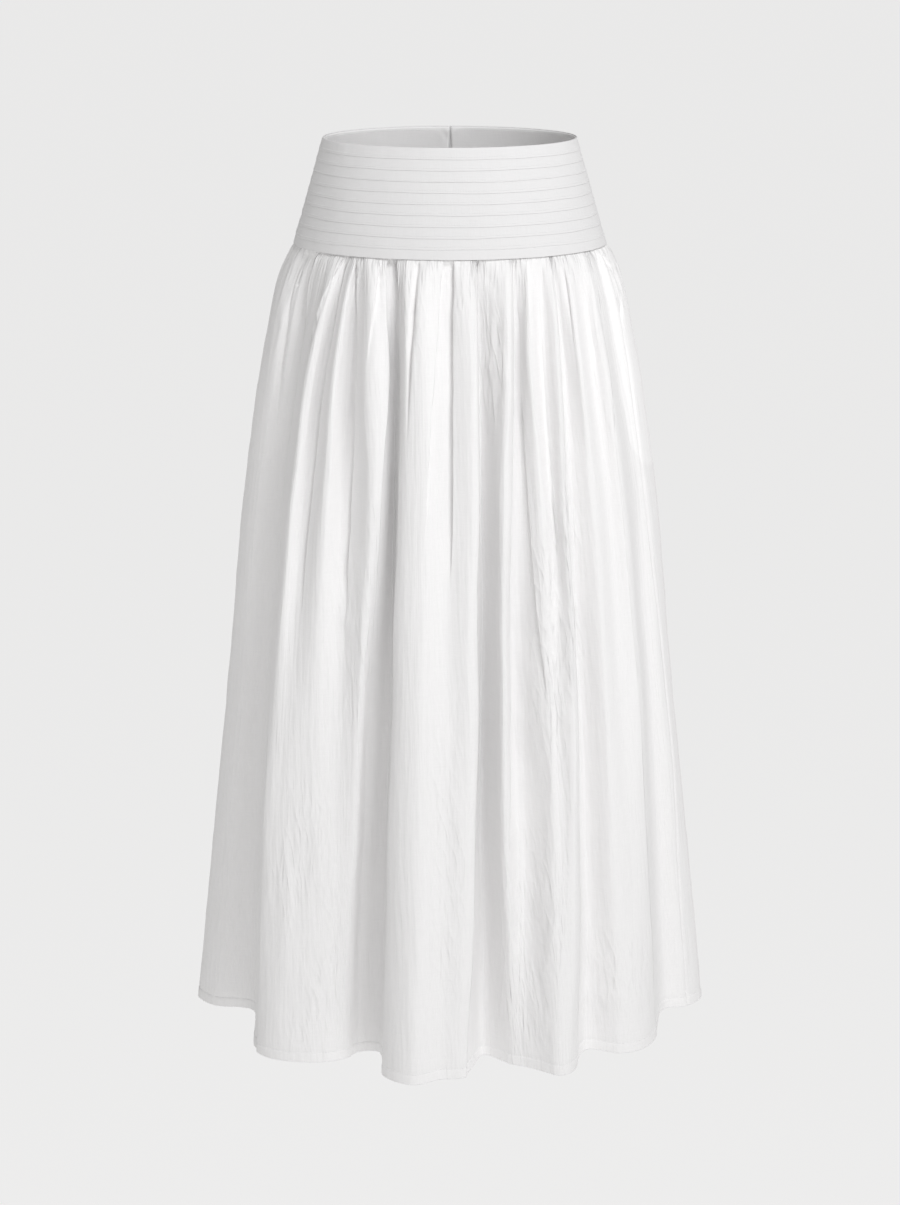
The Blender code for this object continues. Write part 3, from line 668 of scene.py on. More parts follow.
@dataclass
class GatheredCloth:
    """The gathered cloth of the whole skirt, as one closed surface of two parameters.

    A place counts fold lines round the skirt from the left side seam, and 3.5 is half way between
    line 3 and line 4. The other parameter is the depth below the waist. The wander fields say how the
    fold lines stray, and the breaks fields how the crumpled places are broken up.
    """

    column_pitch: float = 5.2 * MM
    close_most: float = 0.45
    wander: float = 1.6 * MM
    wander_cell: float = 0.11
    wander_step: float = 1.7
    wander_seed: int = 101
    wander_grows: float = 0.1
    plain_share: float = 0.25
    pucker: Waver = Waver(9, 16, 0.9, 71, slant=0.9)
    pucker_reach: float = 14 * MM
    breaks: Waver = Waver(22, 60, 0.6, 61)
    breaks_mean: float = 0.75
    gather_uneven: float = 0.2

    def down_curve(self, values: np.ndarray, below: np.ndarray) -> np.ndarray:
        """Smooth curve down the skirt through one row of values for each level.

        Between two levels it is a cubic whose slope at a level is that of the parabola through it
        and its neighbours.

        Args:
            values: One row for each level.
            below: Depths below the waist at which the curve is read.

        Returns:
            One row for each depth.
        """
        at = np.array([level.below for level in LEVELS])
        steps = np.diff(at)[:, None]
        rises = np.diff(values, axis=0) / steps
        slopes = np.empty_like(values)
        slopes[1:-1] = (rises[:-1] * steps[1:] + rises[1:] * steps[:-1]) / (steps[1:] + steps[:-1])
        slopes[0], slopes[-1] = rises[0], rises[-1]
        index = np.clip(np.searchsorted(at, below) - 1, 0, len(at) - 2)
        step = steps[index]
        t = ((below - at[index]) / step[:, 0])[:, None]
        return (
            values[index] * (1 + 2 * t) * (1 - t) ** 2
            + values[index + 1] * t**2 * (3 - 2 * t)
            + slopes[index] * step * t * (1 - t) ** 2
            - slopes[index + 1] * step * t**2 * (1 - t)
        )

    def fold_table(self, folds: Sequence[Fold]) -> tuple[np.ndarray, np.ndarray]:
        """Places across and stand-outs of these folds in metres, one row for each level.

        Args:
            folds: Rows of the fold table.

        Returns:
            The places across and the stand-outs.
        """
        across = [
            (f.seam, f.seam + GATHER_SHIFT_TO_HIP * (f.hip - f.seam), f.hip, f.pocket, f.knee, f.hem)
            for f in folds
        ]
        out = [
            (0.0, GATHER_SHARE_OF_HIP * f.out_hip, f.out_hip, f.out_pocket, f.out_knee, f.out_hem)
            for f in folds
        ]
        return np.array(across, float).T * MM, np.array(out, float).T * MM

    def fold_lines(self, below: np.ndarray) -> np.ndarray:
        """Points of every fold line in plan, anticlockwise from the left side seam.

        A line stands at its place across, on the mean ellipse of its depth, and its stand-out
        beyond it.

        Args:
            below: Depths below the waist.

        Returns:
            Points, depths by lines by 2.
        """
        sizes = self.down_curve(np.array([(v.half_width, v.half_depth) for v in LEVELS]), below)
        half_width, half_depth = sizes[:, :1], sizes[:, 1:]
        points = np.zeros((len(below), LINE_COUNT, 2))
        points[:, 0, 0] = -half_width[:, 0]
        points[:, RIGHT_SIDE, 0] = half_width[:, 0]
        for folds, first, facing in ((FRONT_FOLDS, 1, -1), (BACK_FOLDS, RIGHT_SIDE + 1, 1)):
            across, out = (self.down_curve(table, below) for table in self.fold_table(folds))
            ring = half_depth * np.sqrt(np.maximum(1 - (across / half_width) ** 2, 0))
            points[:, first : first + len(folds), 0] = across
            points[:, first : first + len(folds), 1] = facing * (ring + out)
        return points

    def plan_curve(self, lines: np.ndarray, places: np.ndarray) -> tuple[np.ndarray, np.ndarray]:
        """Closed smooth curve through the fold lines of each row, and its direction.

        Each stretch is a cubic whose end slopes are weighted by the square roots of the distances
        to the neighbours.

        Args:
            lines: Points of the fold lines, depths by lines by 2.
            places: Places round the skirt, depths by places.

        Returns:
            Points and unit directions, depths by places by 2.
        """
        index = np.floor(places).astype(int)
        t = (places - index)[..., None]
        row = np.arange(len(lines))[:, None]
        before, start, end, after = (lines[row, (index + k) % LINE_COUNT] for k in (-1, 0, 1, 2))
        gap_before, gap, gap_after = (
            np.sqrt(np.linalg.norm(b - a, axis=2, keepdims=True))
            for a, b in ((before, start), (start, end), (end, after))
        )
        slope_start = gap * (
            (start - before) / gap_before - (end - before) / (gap_before + gap) + (end - start) / gap
        )
        slope_end = gap * (
            (end - start) / gap - (after - start) / (gap + gap_after) + (after - end) / gap_after
        )
        points = (
            start * (1 + 2 * t) * (1 - t) ** 2
            + end * t**2 * (3 - 2 * t)
            + slope_start * t * (1 - t) ** 2
            - slope_end * t**2 * (1 - t)
        )
        direction = (
            6 * t * (1 - t) * (end - start)
            + slope_start * (1 - t) * (1 - 3 * t)
            + slope_end * t * (3 * t - 2)
        )
        return points, direction / np.linalg.norm(direction, axis=2, keepdims=True)

    def line_spacing(self) -> np.ndarray:
        """Mean length of cloth from each fold line to the next, from the hip to the hem."""
        lines = self.fold_lines(np.array([level.below for level in LEVELS[2:]]))
        return np.linalg.norm(np.roll(lines, -1, axis=1) - lines, axis=2).mean(axis=0)

    def cloth_across(self, places: np.ndarray) -> np.ndarray:
        """Length of flat cloth from the left side seam to each place, in metres."""
        along = np.concatenate([[0.0], np.cumsum(self.line_spacing())])
        return np.interp(places, np.arange(LINE_COUNT + 1), along)

    def pleat_places(self, pleats: Sequence[Pleat], below: np.ndarray) -> np.ndarray:
        """Place of each pleat's edge at each depth, read from where it runs across the skirt.

        Args:
            pleats: Rows of one of the two pleat tables.
            below: Depths below the waist.

        Returns:
            Places, depths by pleats.
        """
        lines = self.fold_lines(below)[..., 0]
        table = np.array([[p.seam, p.gathers, p.hip, p.pocket, p.knee, p.hem] for p in pleats])
        across = self.down_curve(table.T * MM, below)
        if pleats is BACK_PLEATS:
            numbers = np.arange(RIGHT_SIDE, LINE_COUNT + 1)
            x = -np.concatenate([lines[:, RIGHT_SIDE:], lines[:, :1]], axis=1)
            across = -across
        else:
            numbers = np.arange(RIGHT_SIDE + 1)
            x = lines[:, : RIGHT_SIDE + 1]
        return np.array([np.interp(a, row, numbers) for a, row in zip(across, x)])

    def columns(self, start: int, end: int, below: np.ndarray) -> np.ndarray:
        """Places of the columns of points between two fold lines, both ends included.

        The columns are even but for a few close ones on each side of every pleat, and they follow
        the pleats down.

        Args:
            start: First fold line.
            end: Last fold line.
            below: Depths below the waist.

        Returns:
            Places, depths by columns.
        """
        knots = [np.full(len(below), float(start))]
        for pleats in (FRONT_PLEATS, BACK_PLEATS):
            for line in self.pleat_places(pleats, below).T:
                if start < line.mean() < end:
                    knots.append(line)
        knots.append(np.full(len(below), float(end)))
        close = np.array(PLEAT_COLUMNS) * MM
        columns = []
        for first, second in zip(knots[:-1], knots[1:]):
            length = float(np.mean(self.cloth_across(second) - self.cloth_across(first)))
            near = close[close < self.close_most * length]
            last = near[-1] if len(near) else 0.0
            count = max(1, round((length - 2 * last) / self.column_pitch))
            middle = last + (length - 2 * last) * np.arange(count + 1) / count
            shares = np.concatenate([[0.0], near, middle, length - near]) / length
            shares = np.unique(np.round(shares, 6))
            columns.append(first[:, None] + (second - first)[:, None] * shares)
        return np.concatenate([*columns, knots[-1][:, None]], axis=1)

    def ripple(self, places: np.ndarray, below: np.ndarray) -> np.ndarray:
        """Outward move of each point by the small gathers below the seam.

        A gather is one puff between two sharp furrows, as deep as its width allows. The waves grow
        from nothing at the seam to their full depth a little below it and die out further down.

        Args:
            places: Places round the skirt, depths by places.
            below: Depths below the waist.

        Returns:
            Moves in metres, depths by places.
        """
        fine = np.linspace(0, LINE_COUNT, 60 * LINE_COUNT + 1)
        seam, _ = self.plan_curve(self.fold_lines(np.array([LEVELS[0].below])), fine[None, :])
        x, y = (seam[0] / np.array([LEVELS[0].half_width, LEVELS[0].half_depth])).T
        round_degrees = np.degrees(np.arctan2(y, x)) + 180
        round_degrees[fine > LINE_COUNT - 1] += 360 * (round_degrees[fine > LINE_COUNT - 1] < 180)
        round_degrees[fine < 1] -= 360 * (round_degrees[fine < 1] > 180)
        degrees = np.clip(np.interp(places, fine, round_degrees), 0, 360)
        half_turn = np.minimum(np.floor(degrees / 180), 1)
        furrows = np.array(FURROW_DEGREES, float)
        wave = np.interp(degrees - 180 * half_turn, furrows, np.arange(len(furrows)))
        number = np.minimum(wave.astype(int), len(furrows) - 2)
        width = np.diff(furrows)[number]
        uneven = 1 + self.gather_uneven * (np.cos(2.4 * (number + 5 * half_turn)) - 1)
        depth = GATHER_RIPPLE * uneven * np.minimum(width / FURROW_WIDEST_DEGREES, 1) ** 2
        down = np.maximum(below - LEVELS[0].below, 0) / GATHER_PEAK_BELOW_SEAM
        growth = np.sqrt(down) * np.exp(0.5 * (1 - down))
        puff = 2 * np.abs(np.sin(np.pi * wave)) ** 0.8 - 1
        return growth[:, None] * depth * puff

    def crumple(self, across: np.ndarray, below: np.ndarray) -> np.ndarray:
        """Outward move of each point by the cloth's unevenness, the sum of the crumple tables.

        A plain scale is smooth noise. A sharp one is (1 - |noise|)^4, which makes narrow ridges
        between wide flats, as crisp cotton has. Puckers are added close to the seam.

        Args:
            across: Length of flat cloth from the left side seam, depths by places.
            below: Depths below the waist.

        Returns:
            Moves in metres, depths by places.
        """
        down = below[:, None]
        total = self.pucker.move(across, down) * np.exp(-(down - LEVELS[0].below) / self.pucker_reach)
        for scale in PLAIN_CRUMPLES:
            total += scale.move(across, down)
        for scale in SHARP_CRUMPLES:
            ridges = (1 - np.abs(scale.noise(across, down))) ** 4 - SHARP_CRUMPLE_MEAN
            total += scale.height * MM * ridges
        return total * fade((down - LEVELS[0].below) / CRUMPLE_FADE_IN)

    def pleats(
        self, places: np.ndarray, below: np.ndarray, points: np.ndarray
    ) -> tuple[np.ndarray, np.ndarray]:
        """Outward and sideways moves of each point by the pleats, whose edges waver a little.

        A pleat begins at the seam or at its start, and dies out above its end.

        Args:
            places: Places round the skirt, depths by places.
            below: Depths below the waist.
            points: Points in plan, depths by places by 2.

        Returns:
            Outward and anticlockwise moves in metres, depths by places.
        """
        flat = self.cloth_across(places)
        drawn = np.linalg.norm(np.diff(points, axis=1), axis=2).sum(axis=1)
        stretch = (drawn / (flat[:, -1] - flat[:, 0]))[:, None]
        total, aside = np.zeros_like(flat), np.zeros_like(flat)
        from_seam = fade((below - LEVELS[0].below) / PLEAT_FADE_IN)
        for pleats in (FRONT_PLEATS, BACK_PLEATS):
            edges = self.cloth_across(self.pleat_places(pleats, below))
            for number, pleat in enumerate(pleats):
                away = (flat - edges[:, number : number + 1]) * stretch / MM
                line = np.full(len(below), 0.5 + number)
                wander = value_noise(below / (PLEAT_WANDER_CELL * MM), line, PLEAT_WANDER_SEED)
                outward, slide = pleat.moves(away + PLEAT_WANDER * wander[:, None])
                begins = fade((below - pleat.start * MM) / PLEAT_BEGIN)
                ends = 1 - fade((below - pleat.end * MM + PLEAT_FADE_OUT) / PLEAT_FADE_OUT)
                strength = (from_seam * begins * ends)[:, None]
                total += outward * strength
                aside += slide * strength
        return total * MM, aside * MM

    def creases(self, points: np.ndarray, below: np.ndarray) -> np.ndarray:
        """Outward move of each point by the listed creases.

        Seen from the front or back, a crease is a line between its two ends. Its profile is a bell
        across the line, and it swells from nothing at its ends.

        Args:
            points: Points in plan, depths by places by 2.
            below: Depths below the waist.

        Returns:
            Moves in metres, depths by places.
        """
        across = points[..., 0] / MM
        down = np.broadcast_to(below[:, None] / MM, across.shape)
        total = np.zeros_like(across)
        for creases, facing in ((FRONT_CREASES, points[..., 1] < 0), (BACK_CREASES, points[..., 1] > 0)):
            for crease in creases:
                run = np.array([crease.end_across - crease.across, crease.end_below - crease.below])
                length = np.hypot(*run)
                along = ((across - crease.across) * run[0] + (down - crease.below) * run[1]) / length**2
                aside = ((across - crease.across) * run[1] - (down - crease.below) * run[0]) / length
                swell = np.sin(np.pi * np.clip(along, 0, 1)) ** 0.8
                total += crease.depth * MM * bell(aside / crease.width) * swell * facing
        return total

    def crumpled(self, points: np.ndarray, below: np.ndarray) -> np.ndarray:
        """How crumpled the cloth is at each point, from 0 to about 1.

        Each patch is a bell over its half-sizes, broken up by soft noise.

        Args:
            points: Points in plan, depths by places by 2 or 3.
            below: Depths below the waist.

        Returns:
            Values, depths by places.
        """
        across = points[..., 0] / MM
        down = np.broadcast_to(below[:, None] / MM, across.shape)
        total = np.zeros_like(across)
        for patches, facing in ((FRONT_PATCHES, points[..., 1] < 0), (BACK_PATCHES, points[..., 1] > 0)):
            for patch in patches:
                aside = (across - patch.across) / patch.half_width
                along = (down - patch.below) / patch.half_height
                total = np.maximum(total, patch.amount * np.exp(-(aside**4) - along**4) * facing)
        broken = self.breaks.noise(points[..., 0], below[:, None])
        return total * fade(self.breaks_mean + self.breaks.height * broken)

    def surface(self, places: np.ndarray, below: np.ndarray, inward: float = 0.0) -> np.ndarray:
        """Points of the cloth's outer face.

        Small unevenness moves a point out of the folded cloth, and pleats move it along the cloth too.

        Args:
            places: Places round the skirt, depths by places.
            below: Depths below the waist.
            inward: Distance by which all points are moved inward in plan.

        Returns:
            Points, depths by places by 3.
        """
        lines = self.fold_lines(below)
        number = np.arange(LINE_COUNT)[None, :]
        sway = value_noise(number * self.wander_step, below[:, None] / self.wander_cell, self.wander_seed)
        sway *= self.wander * fade((below - LEVELS[1].below) / self.wander_grows)[:, None]
        sway[:, [0, RIGHT_SIDE, CENTRE_BACK]] = 0
        lines[..., 0] += sway
        points, direction = self.plan_curve(lines, places)
        outward = np.stack([direction[..., 1], -direction[..., 0]], axis=2)
        pleated, aside = self.pleats(places, below, points)
        move = self.ripple(places, below) + self.creases(points, below)
        uneven = self.plain_share + self.crumpled(points, below)
        move += self.crumple(self.cloth_across(places), below) * uneven
        move -= SEAM_TUCK * bell((below - LEVELS[0].below) / SEAM_TUCK_REACH)[:, None]
        points = points + outward * (move + pleated - inward)[..., None] + direction * aside[..., None]
        heights = np.broadcast_to(-below[:, None, None], points.shape[:2] + (1,))
        return np.concatenate([points, heights], axis=2)


@dataclass(frozen=True)
class CottonFinish:
    """White plain-weave cotton: its tone, the tone where a second layer backs it, and its relief."""

    name: str = "white_cotton"
    tone: tuple[float, float, float] = (0.895, 0.888, 0.886)
    backed_tone: tuple[float, float, float] = (0.95, 0.943, 0.941)
    thread_pitch: float = 0.45 * MM
    weave_height: float = 0.05 * MM
    crumple_height: float = 1.7 * MM
    crumple_across: float = 4.4 * MM
    crumple_down: float = 60.0 * MM
    roughness: float = 0.88
    specular: float = 0.25
    sheen: float = 0.10
    sheen_roughness: float = 0.5

    def build(self, groups: ClothGroups) -> bpy.types.Material:
        """Builds the material on the piece's UV map, in metres, and the values named on its points.

        Args:
            groups: The shared node groups.

        Returns:
            The material.
        """
        material = bpy.data.materials.new(self.name)
        material.use_nodes = True
        tree = material.node_tree
        shader = tree.nodes["Principled BSDF"]
        shader.inputs["Roughness"].default_value = self.roughness
        shader.inputs["Specular IOR Level"].default_value = self.specular
        shader.inputs["Sheen Weight"].default_value = self.sheen
        shader.inputs["Sheen Roughness"].default_value = self.sheen_roughness
        place = tree.nodes.new("ShaderNodeTexCoord")
        weave = groups.place(tree, "plain_weave", {"Pitch": self.thread_pitch})
        crumple = groups.place(
            tree, "fine_crumple", {"Across": self.crumple_across, "Down": self.crumple_down}
        )
        for group in (weave, crumple):
            tree.links.new(place.outputs["UV"], group.inputs["Place"])
        for value in ("Gathered", "Crumpled"):
            tree.links.new(groups.value(tree, value.lower()), crumple.inputs[value])
        tone = tree.nodes.new("ShaderNodeMix")
        tone.data_type = "RGBA"
        tone.inputs["A"].default_value = (*self.tone, 1)
        tone.inputs["B"].default_value = (*self.backed_tone, 1)
        tree.links.new(groups.value(tree, "backed"), tone.inputs["Factor"])
        shade = groups.product(tree, tone.outputs["Result"], weave.outputs["Tone"])
        tree.links.new(shade, shader.inputs["Base Color"])
        weave_share = self.weave_height / self.crumple_height
        height = groups.maths(
            tree, "MULTIPLY_ADD", weave.outputs["Height"], weave_share, crumple.outputs["Height"]
        )
        tree.links.new(groups.bump(tree, height, self.crumple_height), shader.inputs["Normal"])
        return material


@dataclass(frozen=True)
class ThreadFinish:
    """White sewing thread, a little brighter than the cloth."""

    name: str = "white_thread"
    tone: tuple[float, float, float] = (0.90, 0.90, 0.90)
    roughness: float = 0.6
    metallic: float = 0.0
    mottle_cell: float = 0.8 * MM
    mottle_amount: float = 0.06

    def build(self, groups: ClothGroups) -> bpy.types.Material:
        """Builds the material: the tone, mottled a little along each thread.

        Args:
            groups: The shared node groups.

        Returns:
            The material.
        """
        return groups.mottled(self)


@dataclass(frozen=True)
class EnamelFinish:
    """White enamel on zinc, satin and a little worn."""

    name: str = "white_enamel"
    tone: tuple[float, float, float] = (0.88, 0.88, 0.87)
    roughness: float = 0.32
    metallic: float = 0.1
    mottle_cell: float = 1.5 * MM
    mottle_amount: float = 0.05

    def build(self, groups: ClothGroups) -> bpy.types.Material:
        """Builds the material: the tone with faint scuffs.

        Args:
            groups: The shared node groups.

        Returns:
            The material.
        """
        return groups.mottled(self)


class Streak(NamedTuple):
    """One kind of fine crumple: slant, size in cells, octaves of noise, and height as a share.

    The slant is how far it leans sideways for each unit up.
    """

    slant: float
    wider: float
    longer: float
    octaves: float
    amount: float


# Fine crumples: everywhere, in the gathers, and the ridges with the value that says where they are.
UPRIGHT = Streak(0.04, 1.0, 1.0, 2.0, 0.55)
PUCKERS = Streak(-0.05, 0.8, 0.5, 1.0, 1.6)
RIDGES = (
    ("Crumpled", Streak(-0.07, 3.2, 1.4, 1.0, 0.36)),
    ("Crumpled", Streak(0.08, 2.6, 1.1, 1.0, 0.36)),
    ("Crumpled", Streak(0.18, 2.2, 0.8, 1.0, 0.36)),
    ("Gathered", Streak(0.06, 2.6, 0.9, 1.0, -0.45)),
)

# Noise cells for each metre along x, y and z, for threads that run down and across.
THREADS_DOWN = (1200.0, 60.0, 1.0)
THREADS_ACROSS = (60.0, 1200.0, 1.0)
THREAD_UNEVEN = 0.05
MOTTLE_HEIGHT = 0.05 * MM


@dataclass
class ClothGroups:
    """Node groups shared by the finishes, each built once."""

    made: dict[str, bpy.types.NodeTree] = field(default_factory=dict)

    def place(
        self, tree: bpy.types.NodeTree, name: str, values: dict[str, float]
    ) -> bpy.types.ShaderNodeGroup:
        """Puts a shared group into a material's tree with its own values.

        Args:
            tree: The material's node tree.
            name: Name of the group.
            values: Values of its inputs.

        Returns:
            The group node.
        """
        if name not in self.made:
            self.made[name] = getattr(self, f"build_{name}")()
        node = tree.nodes.new("ShaderNodeGroup")
        node.node_tree = self.made[name]
        for key, value in values.items():
            node.inputs[key].default_value = value
        return node

    def new_group(
        self, name: str, inputs: dict[str, str], outputs: dict[str, str]
    ) -> tuple[bpy.types.NodeTree, bpy.types.Node, bpy.types.Node]:
        """Makes an empty group with named sockets.

        Args:
            name: Name of the group.
            inputs: Socket kind for each input name.
            outputs: Socket kind for each output name.

        Returns:
            The tree, its input node and its output node.
        """
        tree = bpy.data.node_groups.new(name, "ShaderNodeTree")
        for key, kind in inputs.items():
            tree.interface.new_socket(key, in_out="INPUT", socket_type=kind)
        for key, kind in outputs.items():
            tree.interface.new_socket(key, in_out="OUTPUT", socket_type=kind)
        return tree, tree.nodes.new("NodeGroupInput"), tree.nodes.new("NodeGroupOutput")

    def maths(
        self, tree: bpy.types.NodeTree, operation: str, *values: bpy.types.NodeSocket | float
    ) -> bpy.types.NodeSocket:
        """One maths node on sockets or numbers.

        Args:
            tree: Tree that gets the node.
            operation: Kind of maths.
            values: Its inputs in order.

        Returns:
            Its output.
        """
        node = tree.nodes.new("ShaderNodeMath")
        node.operation = operation
        for number, value in enumerate(values):
            if isinstance(value, (int, float)):
                node.inputs[number].default_value = value
            else:
                tree.links.new(value, node.inputs[number])
        return node.outputs["Value"]

    def noise(
        self, tree: bpy.types.NodeTree, vector: bpy.types.NodeSocket, scale: float, detail: float
    ) -> bpy.types.NodeSocket:
        """Noise from 0 to 1 on a vector.

        Args:
            tree: Tree that gets the node.
            vector: Where it is read.
            scale: Cells for each unit.
            detail: Number of finer octaves.

        Returns:
            Its value.
        """
        node = tree.nodes.new("ShaderNodeTexNoise")
        node.inputs["Scale"].default_value = scale
        node.inputs["Detail"].default_value = detail
        tree.links.new(vector, node.inputs["Vector"])
        return node.outputs["Fac"]

    def value(self, tree: bpy.types.NodeTree, name: str) -> bpy.types.NodeSocket:
        """The value of this name on the piece's points, or nothing where it has none."""
        node = tree.nodes.new("ShaderNodeAttribute")
        node.attribute_name = name
        return node.outputs["Fac"]

    def product(
        self,
        tree: bpy.types.NodeTree,
        colour: bpy.types.NodeSocket | Sequence[float],
        tone: bpy.types.NodeSocket,
    ) -> bpy.types.NodeSocket:
        """A colour times a tone.

        Args:
            tree: Tree that gets the node.
            colour: The colour, as a socket or as three numbers.
            tone: What it is multiplied by.

        Returns:
            The product.
        """
        node = tree.nodes.new("ShaderNodeMix")
        node.data_type = "RGBA"
        node.blend_type = "MULTIPLY"
        node.inputs["Factor"].default_value = 1.0
        if isinstance(colour, bpy.types.NodeSocket):
            tree.links.new(colour, node.inputs["A"])
        else:
            node.inputs["A"].default_value = (*colour, 1)
        tree.links.new(tone, node.inputs["B"])
        return node.outputs["Result"]

    def bump(
        self, tree: bpy.types.NodeTree, height: bpy.types.NodeSocket, distance: float
    ) -> bpy.types.NodeSocket:
        """Normal of a surface with this relief.

        Args:
            tree: Tree that gets the node.
            height: The relief, from 0 to about 1.
            distance: Its height in metres where the value is 1.

        Returns:
            The normal.
        """
        node = tree.nodes.new("ShaderNodeBump")
        node.inputs["Strength"].default_value = 1.0
        node.inputs["Distance"].default_value = distance
        tree.links.new(height, node.inputs["Height"])
        return node.outputs["Normal"]

    def build_plain_weave(self) -> bpy.types.NodeTree:
        """Plain weave: sine ridges of warp and weft that take turns, with uneven thread tone.

        The height is half of 1 + sin(pi x) sin(pi y), with x and y in threads. The tone is a little
        under or over 1, by noise drawn out along the threads.

        Returns:
            The group's tree.
        """
        tree, start, end = self.new_group(
            "plain_weave",
            {"Place": "NodeSocketVector", "Pitch": "NodeSocketFloat"},
            {"Height": "NodeSocketFloat", "Tone": "NodeSocketColor"},
        )
        split = tree.nodes.new("ShaderNodeSeparateXYZ")
        tree.links.new(start.outputs["Place"], split.inputs["Vector"])
        waves = []
        for axis in ("X", "Y"):
            threads = self.maths(tree, "DIVIDE", split.outputs[axis], start.outputs["Pitch"])
            waves.append(self.maths(tree, "SINE", self.maths(tree, "MULTIPLY", threads, float(np.pi))))
        both = self.maths(tree, "MULTIPLY", waves[0], waves[1])
        height = self.maths(tree, "MULTIPLY_ADD", both, 0.5, 0.5)
        tree.links.new(height, end.inputs["Height"])
        tones = []
        for stretch in (THREADS_DOWN, THREADS_ACROSS):
            scaled = tree.nodes.new("ShaderNodeVectorMath")
            scaled.operation = "MULTIPLY"
            scaled.inputs[1].default_value = stretch
            tree.links.new(start.outputs["Place"], scaled.inputs[0])
            tones.append(self.noise(tree, scaled.outputs["Vector"], 1.0, 1.0))
        total = self.maths(tree, "ADD", tones[0], tones[1])
        tone = self.maths(tree, "MULTIPLY_ADD", total, THREAD_UNEVEN, 1.0 - THREAD_UNEVEN)
        tree.links.new(tone, end.inputs["Tone"])
        return tree

    def build_fine_crumple(self) -> bpy.types.NodeTree:
        """Fine crumples: upright streaks, slanting ridges in patches, and furrows in the gathers.

        A ridge is the square of 1 less six times the noise's distance from its middle value, where
        that is above nothing, and a furrow is a ridge upside down. Streaks are stronger and furrows
        lie where the cloth is gathered, and ridges stand where it is crumpled.

        Returns:
            The group's tree.
        """
        tree, start, end = self.new_group(
            "fine_crumple",
            {
                "Place": "NodeSocketVector",
                "Across": "NodeSocketFloat",
                "Down": "NodeSocketFloat",
                "Gathered": "NodeSocketFloat",
                "Crumpled": "NodeSocketFloat",
            },
            {"Height": "NodeSocketFloat"},
        )
        split = tree.nodes.new("ShaderNodeSeparateXYZ")
        tree.links.new(start.outputs["Place"], split.inputs["Vector"])
        place = (split.outputs["X"], split.outputs["Y"])
        cell = (start.outputs["Across"], start.outputs["Down"])
        streaks = self.maths(tree, "MULTIPLY", self.streaks(tree, place, cell, UPRIGHT), UPRIGHT.amount)
        puckers = self.maths(tree, "MULTIPLY", self.streaks(tree, place, cell, PUCKERS), PUCKERS.amount)
        gathers = self.maths(tree, "MULTIPLY", start.outputs["Gathered"], puckers)
        total = self.maths(tree, "ADD", streaks, gathers)
        for where, streak in RIDGES:
            amount = self.maths(tree, "MULTIPLY", start.outputs[where], streak.amount)
            off = self.maths(tree, "SUBTRACT", self.streaks(tree, place, cell, streak), 0.5)
            ridge = self.maths(tree, "MULTIPLY_ADD", self.maths(tree, "ABSOLUTE", off), -6.0, 1.0)
            ridge.node.use_clamp = True
            shaped = self.maths(tree, "POWER", ridge, 2.0)
            total = self.maths(tree, "ADD", total, self.maths(tree, "MULTIPLY", shaped, amount))
        tree.links.new(total, end.inputs["Height"])
        return tree

    def streaks(
        self,
        tree: bpy.types.NodeTree,
        place: Sequence[bpy.types.NodeSocket],
        cell: Sequence[bpy.types.NodeSocket],
        streak: Streak,
    ) -> bpy.types.NodeSocket:
        """Noise from 0 to 1 with the cells of one kind of streak.

        Args:
            tree: Tree that gets the nodes.
            place: Places across and up.
            cell: Sizes of a cell across and down.
            streak: The kind of streak.

        Returns:
            Its value.
        """
        leaning = self.maths(tree, "MULTIPLY_ADD", place[1], streak.slant, place[0])
        joined = tree.nodes.new("ShaderNodeCombineXYZ")
        for axis, value, size, times in (
            ("X", leaning, cell[0], streak.wider),
            ("Y", place[1], cell[1], streak.longer),
        ):
            cells = self.maths(tree, "DIVIDE", value, self.maths(tree, "MULTIPLY", size, times))
            tree.links.new(cells, joined.inputs[axis])
        return self.noise(tree, joined.outputs["Vector"], 1.0, streak.octaves)

    def build_mottle(self) -> bpy.types.NodeTree:
        """Mottling: 1 less an amount of noise with a given cell, read on object coordinates.

        Returns:
            The group's tree.
        """
        tree, start, end = self.new_group(
            "mottle",
            {"Place": "NodeSocketVector", "Cell": "NodeSocketFloat", "Amount": "NodeSocketFloat"},
            {"Tone": "NodeSocketColor", "Height": "NodeSocketFloat"},
        )
        scaled = tree.nodes.new("ShaderNodeVectorMath")
        scaled.operation = "SCALE"
        tree.links.new(start.outputs["Place"], scaled.inputs[0])
        tree.links.new(self.maths(tree, "DIVIDE", 1.0, start.outputs["Cell"]), scaled.inputs["Scale"])
        value = self.noise(tree, scaled.outputs["Vector"], 1.0, 2.0)
        less = self.maths(tree, "MULTIPLY", value, start.outputs["Amount"])
        tree.links.new(self.maths(tree, "SUBTRACT", 1.0, less), end.inputs["Tone"])
        tree.links.new(value, end.inputs["Height"])
        return tree

    def mottled(self, finish: ThreadFinish | EnamelFinish) -> bpy.types.Material:
        """Material of one tone, mottled by the shared group.

        Args:
            finish: Name, tone, roughness, metallic value, and size and strength of the mottles.

        Returns:
            The material.
        """
        material = bpy.data.materials.new(finish.name)
        material.use_nodes = True
        tree = material.node_tree
        shader = tree.nodes["Principled BSDF"]
        shader.inputs["Roughness"].default_value = finish.roughness
        shader.inputs["Metallic"].default_value = finish.metallic
        place = tree.nodes.new("ShaderNodeTexCoord")
        values = {"Cell": finish.mottle_cell, "Amount": finish.mottle_amount}
        mottle = self.place(tree, "mottle", values)
        tree.links.new(place.outputs["Object"], mottle.inputs["Place"])
        colour = self.product(tree, finish.tone, mottle.outputs["Tone"])
        tree.links.new(colour, shader.inputs["Base Color"])
        bump = self.bump(tree, mottle.outputs["Height"], MOTTLE_HEIGHT)
        tree.links.new(bump, shader.inputs["Normal"])
        return material


